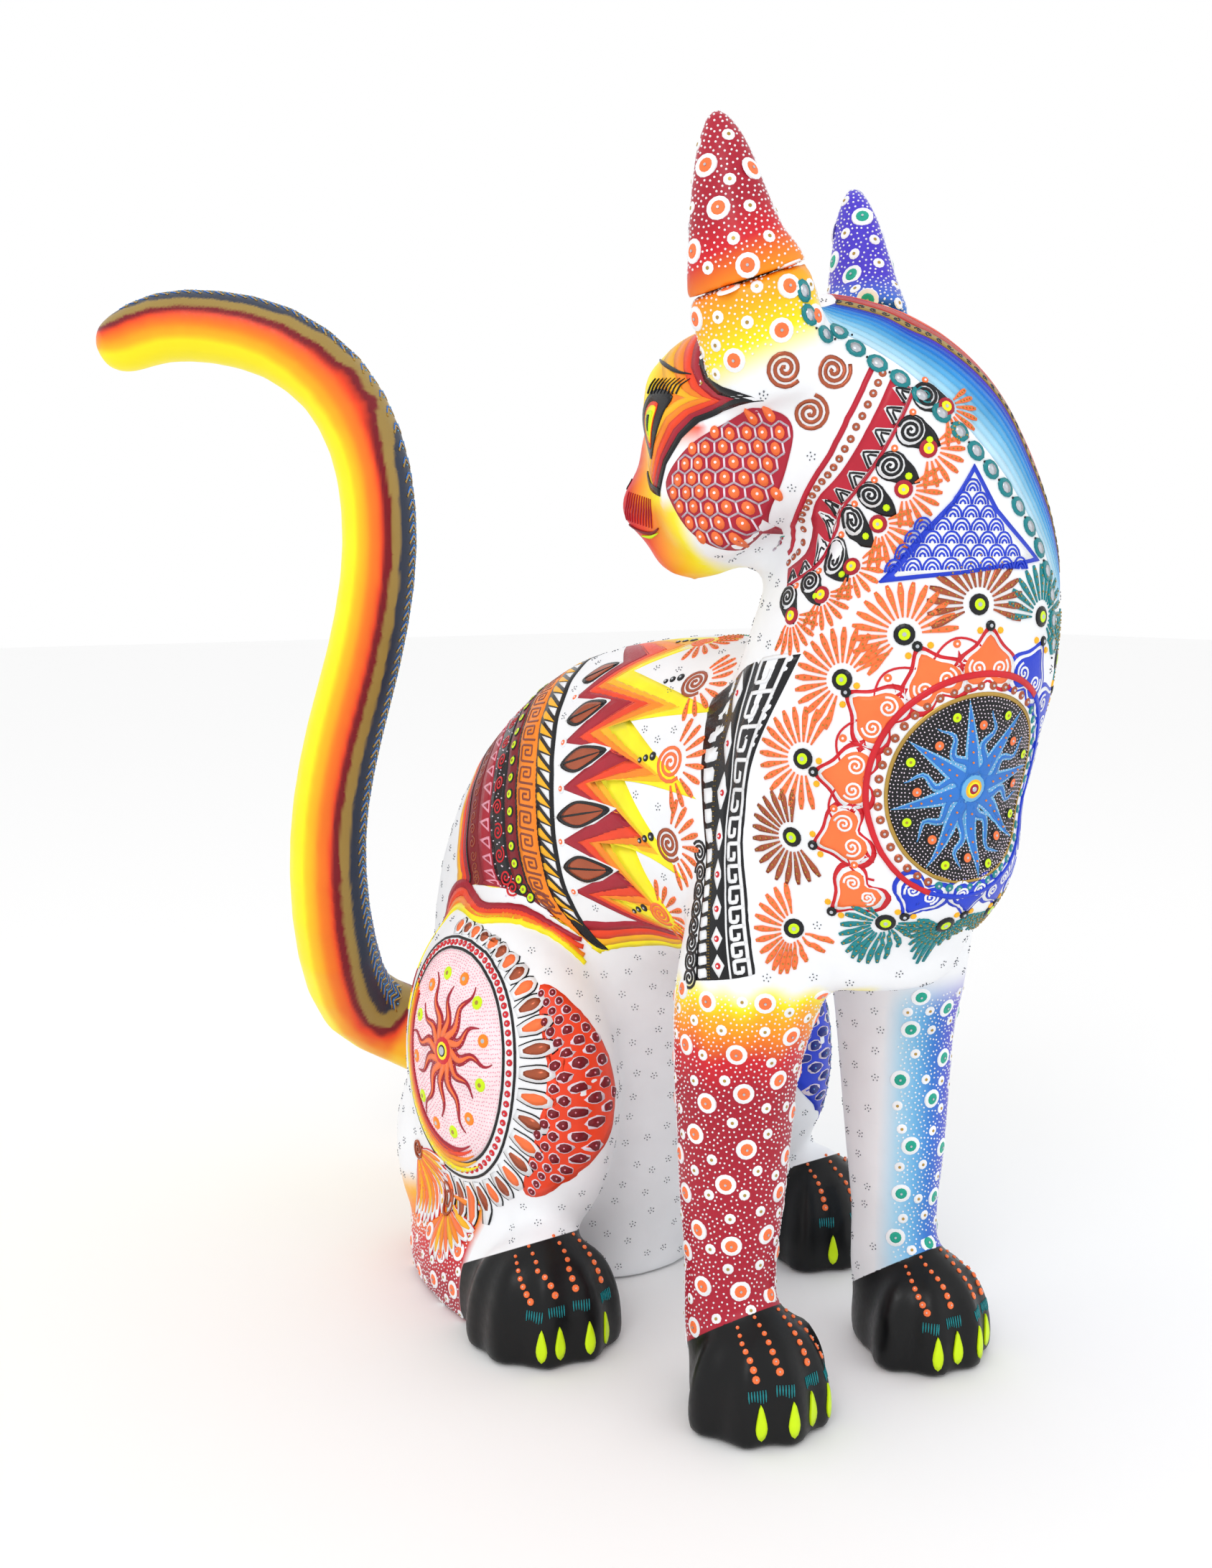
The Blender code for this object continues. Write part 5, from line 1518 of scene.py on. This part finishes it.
def seed_clusters():
    """Little groups of five grey dots wherever the white ground is left bare."""
    taken = np.vstack([v for rows in body.coats.values() for v, _, _ in rows])
    taken = taken[::3]
    shade = np.empty(len(body.co) * 4, np.float32)
    body.obj.data.color_attributes["ground"].data.foreach_get("color", shade)
    light = shade.reshape(-1, 4)[:, :3].min(1) > 0.80
    paw = np.empty(len(body.co), np.float32)
    body.obj.data.attributes["paw"].data.foreach_get("value", paw)
    first = np.array([p.vertices[0] for p in body.obj.data.polygons])
    bare = light[first] & (paw[first] < 0.02)
    spots, ways = scattered(body, lambda p, n: bare & (p[:, 2] > 6), 7.5, 9000, 77,
                            [(taken, 3.4)])
    rng = np.random.default_rng(78)
    points, normals, size = [], [], []
    for p, n in zip(spots, ways):
        helper = UP if abs(n[2]) < 0.9 else np.array((1.0, 0, 0))
        u = np.cross(helper, n)
        u /= np.linalg.norm(u)
        v = np.cross(n, u)
        turn = rng.uniform(0, 2)
        for k in range(6):
            a = turn + k * 2 * math.pi / 5
            r = 0 if k == 5 else 1.25
            points.append(p + (u * math.cos(a) + v * math.sin(a)) * r)
            normals.append(n)
            size.append(0.3)
    if points:
        body.dots("grey", np.array(points), np.array(normals), np.array(size), 0, 0.12, 6)


seed_clusters()


# ---------------------------------------------------------------- the coats as pieces
PIECE_LIMIT = 190000


def make_pieces(skin):
    for paint, rows in sorted(skin.coats.items()):
        groups, size = [[]], 0
        for row in rows:
            if size + len(row[1]) > PIECE_LIMIT:
                groups.append([])
                size = 0
            groups[-1].append(row)
            size += len(row[1])
        for k, group in enumerate(groups):
            verts, faces, flags, start = [], [], [], 0
            for v, f, s in group:
                verts.append(v)
                faces.append(f + start)
                flags.append(s)
                start += len(v)
            verts, faces = np.vstack(verts) * MM, np.vstack(faces)
            mesh = bpy.data.meshes.new("%s_%s" % (skin.tag, paint))
            mesh.vertices.add(len(verts))
            mesh.vertices.foreach_set("co", verts.astype(np.float32).ravel())
            mesh.loops.add(len(faces) * 3)
            mesh.loops.foreach_set("vertex_index", faces.astype(np.int32).ravel())
            mesh.polygons.add(len(faces))
            mesh.polygons.foreach_set("loop_start", np.arange(len(faces), dtype=np.int32) * 3)
            mesh.polygons.foreach_set("use_smooth", np.concatenate(flags))
            mesh.update(calc_edges=True)
            mesh.validate()
            name = "%s_paint_%s" % (skin.tag, paint) + ("_%d" % (k + 1) if k else "")
            obj = bpy.data.objects.new(name, mesh)
            bpy.context.scene.collection.objects.link(obj)
            mesh.materials.append(paint_material(paint))
            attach(obj, skin.body)


for skin in (body, ear_near, ear_far, tail):
    make_pieces(skin)


# ---------------------------------------------------------------- floor, light and camera
FLOOR_HALF = 6.0            # metres from here on
FLOOR_DROP = -0.0004
EYE_PLACE = (-0.3574, -0.5057, 0.29)
EYE_TURN = (math.radians(82.44), 0.0, math.radians(-36.0))
EYE_LENS = 36.26


def plain(name, colour, roughness):
    mat, _, shader = new_material(name)
    shader.inputs["Base Color"].default_value = colour
    shader.inputs["Roughness"].default_value = roughness
    return mat


floor_mesh = bpy.data.meshes.new("floor")
bm = bmesh.new()
bmesh.ops.create_grid(bm, x_segments=1, y_segments=1, size=FLOOR_HALF)
bm.to_mesh(floor_mesh)
bm.free()
floor = bpy.data.objects.new("floor", floor_mesh)
bpy.context.scene.collection.objects.link(floor)
floor_mesh.materials.append(plain("pale_floor", (0.95, 0.95, 0.95, 1), 0.95))
floor.location.z = FLOOR_DROP

world = bpy.data.worlds.new("studio")
bpy.context.scene.world = world
world.use_nodes = True
world.node_tree.nodes["Background"].inputs["Color"].default_value = (1.0, 1.0, 1.0, 1)
world.node_tree.nodes["Background"].inputs["Strength"].default_value = 1.0


def soft_light(name, place, aim, size, power):
    lamp = bpy.data.lights.new(name, "AREA")
    lamp.shape, lamp.size, lamp.energy = "DISK", size, power
    obj = bpy.data.objects.new(name, lamp)
    bpy.context.scene.collection.objects.link(obj)
    obj.location = place
    obj.rotation_euler = (Vector(aim) - Vector(place)).to_track_quat("-Z", "Y").to_euler()


soft_light("key", (-1.1, -0.9, 1.3), (0, 0, 0.2), 0.7, 5.5)
soft_light("fill", (0.9, -1.3, 0.8), (0, 0, 0.2), 1.2, 1.2)

camera = bpy.data.cameras.new("view")
camera.sensor_fit, camera.sensor_height, camera.lens = "VERTICAL", 36.0, EYE_LENS
eye = bpy.data.objects.new("view", camera)
bpy.context.scene.collection.objects.link(eye)
eye.location, eye.rotation_euler = EYE_PLACE, EYE_TURN
bpy.context.scene.camera = eye
bpy.context.scene.view_settings.view_transform = "Standard"
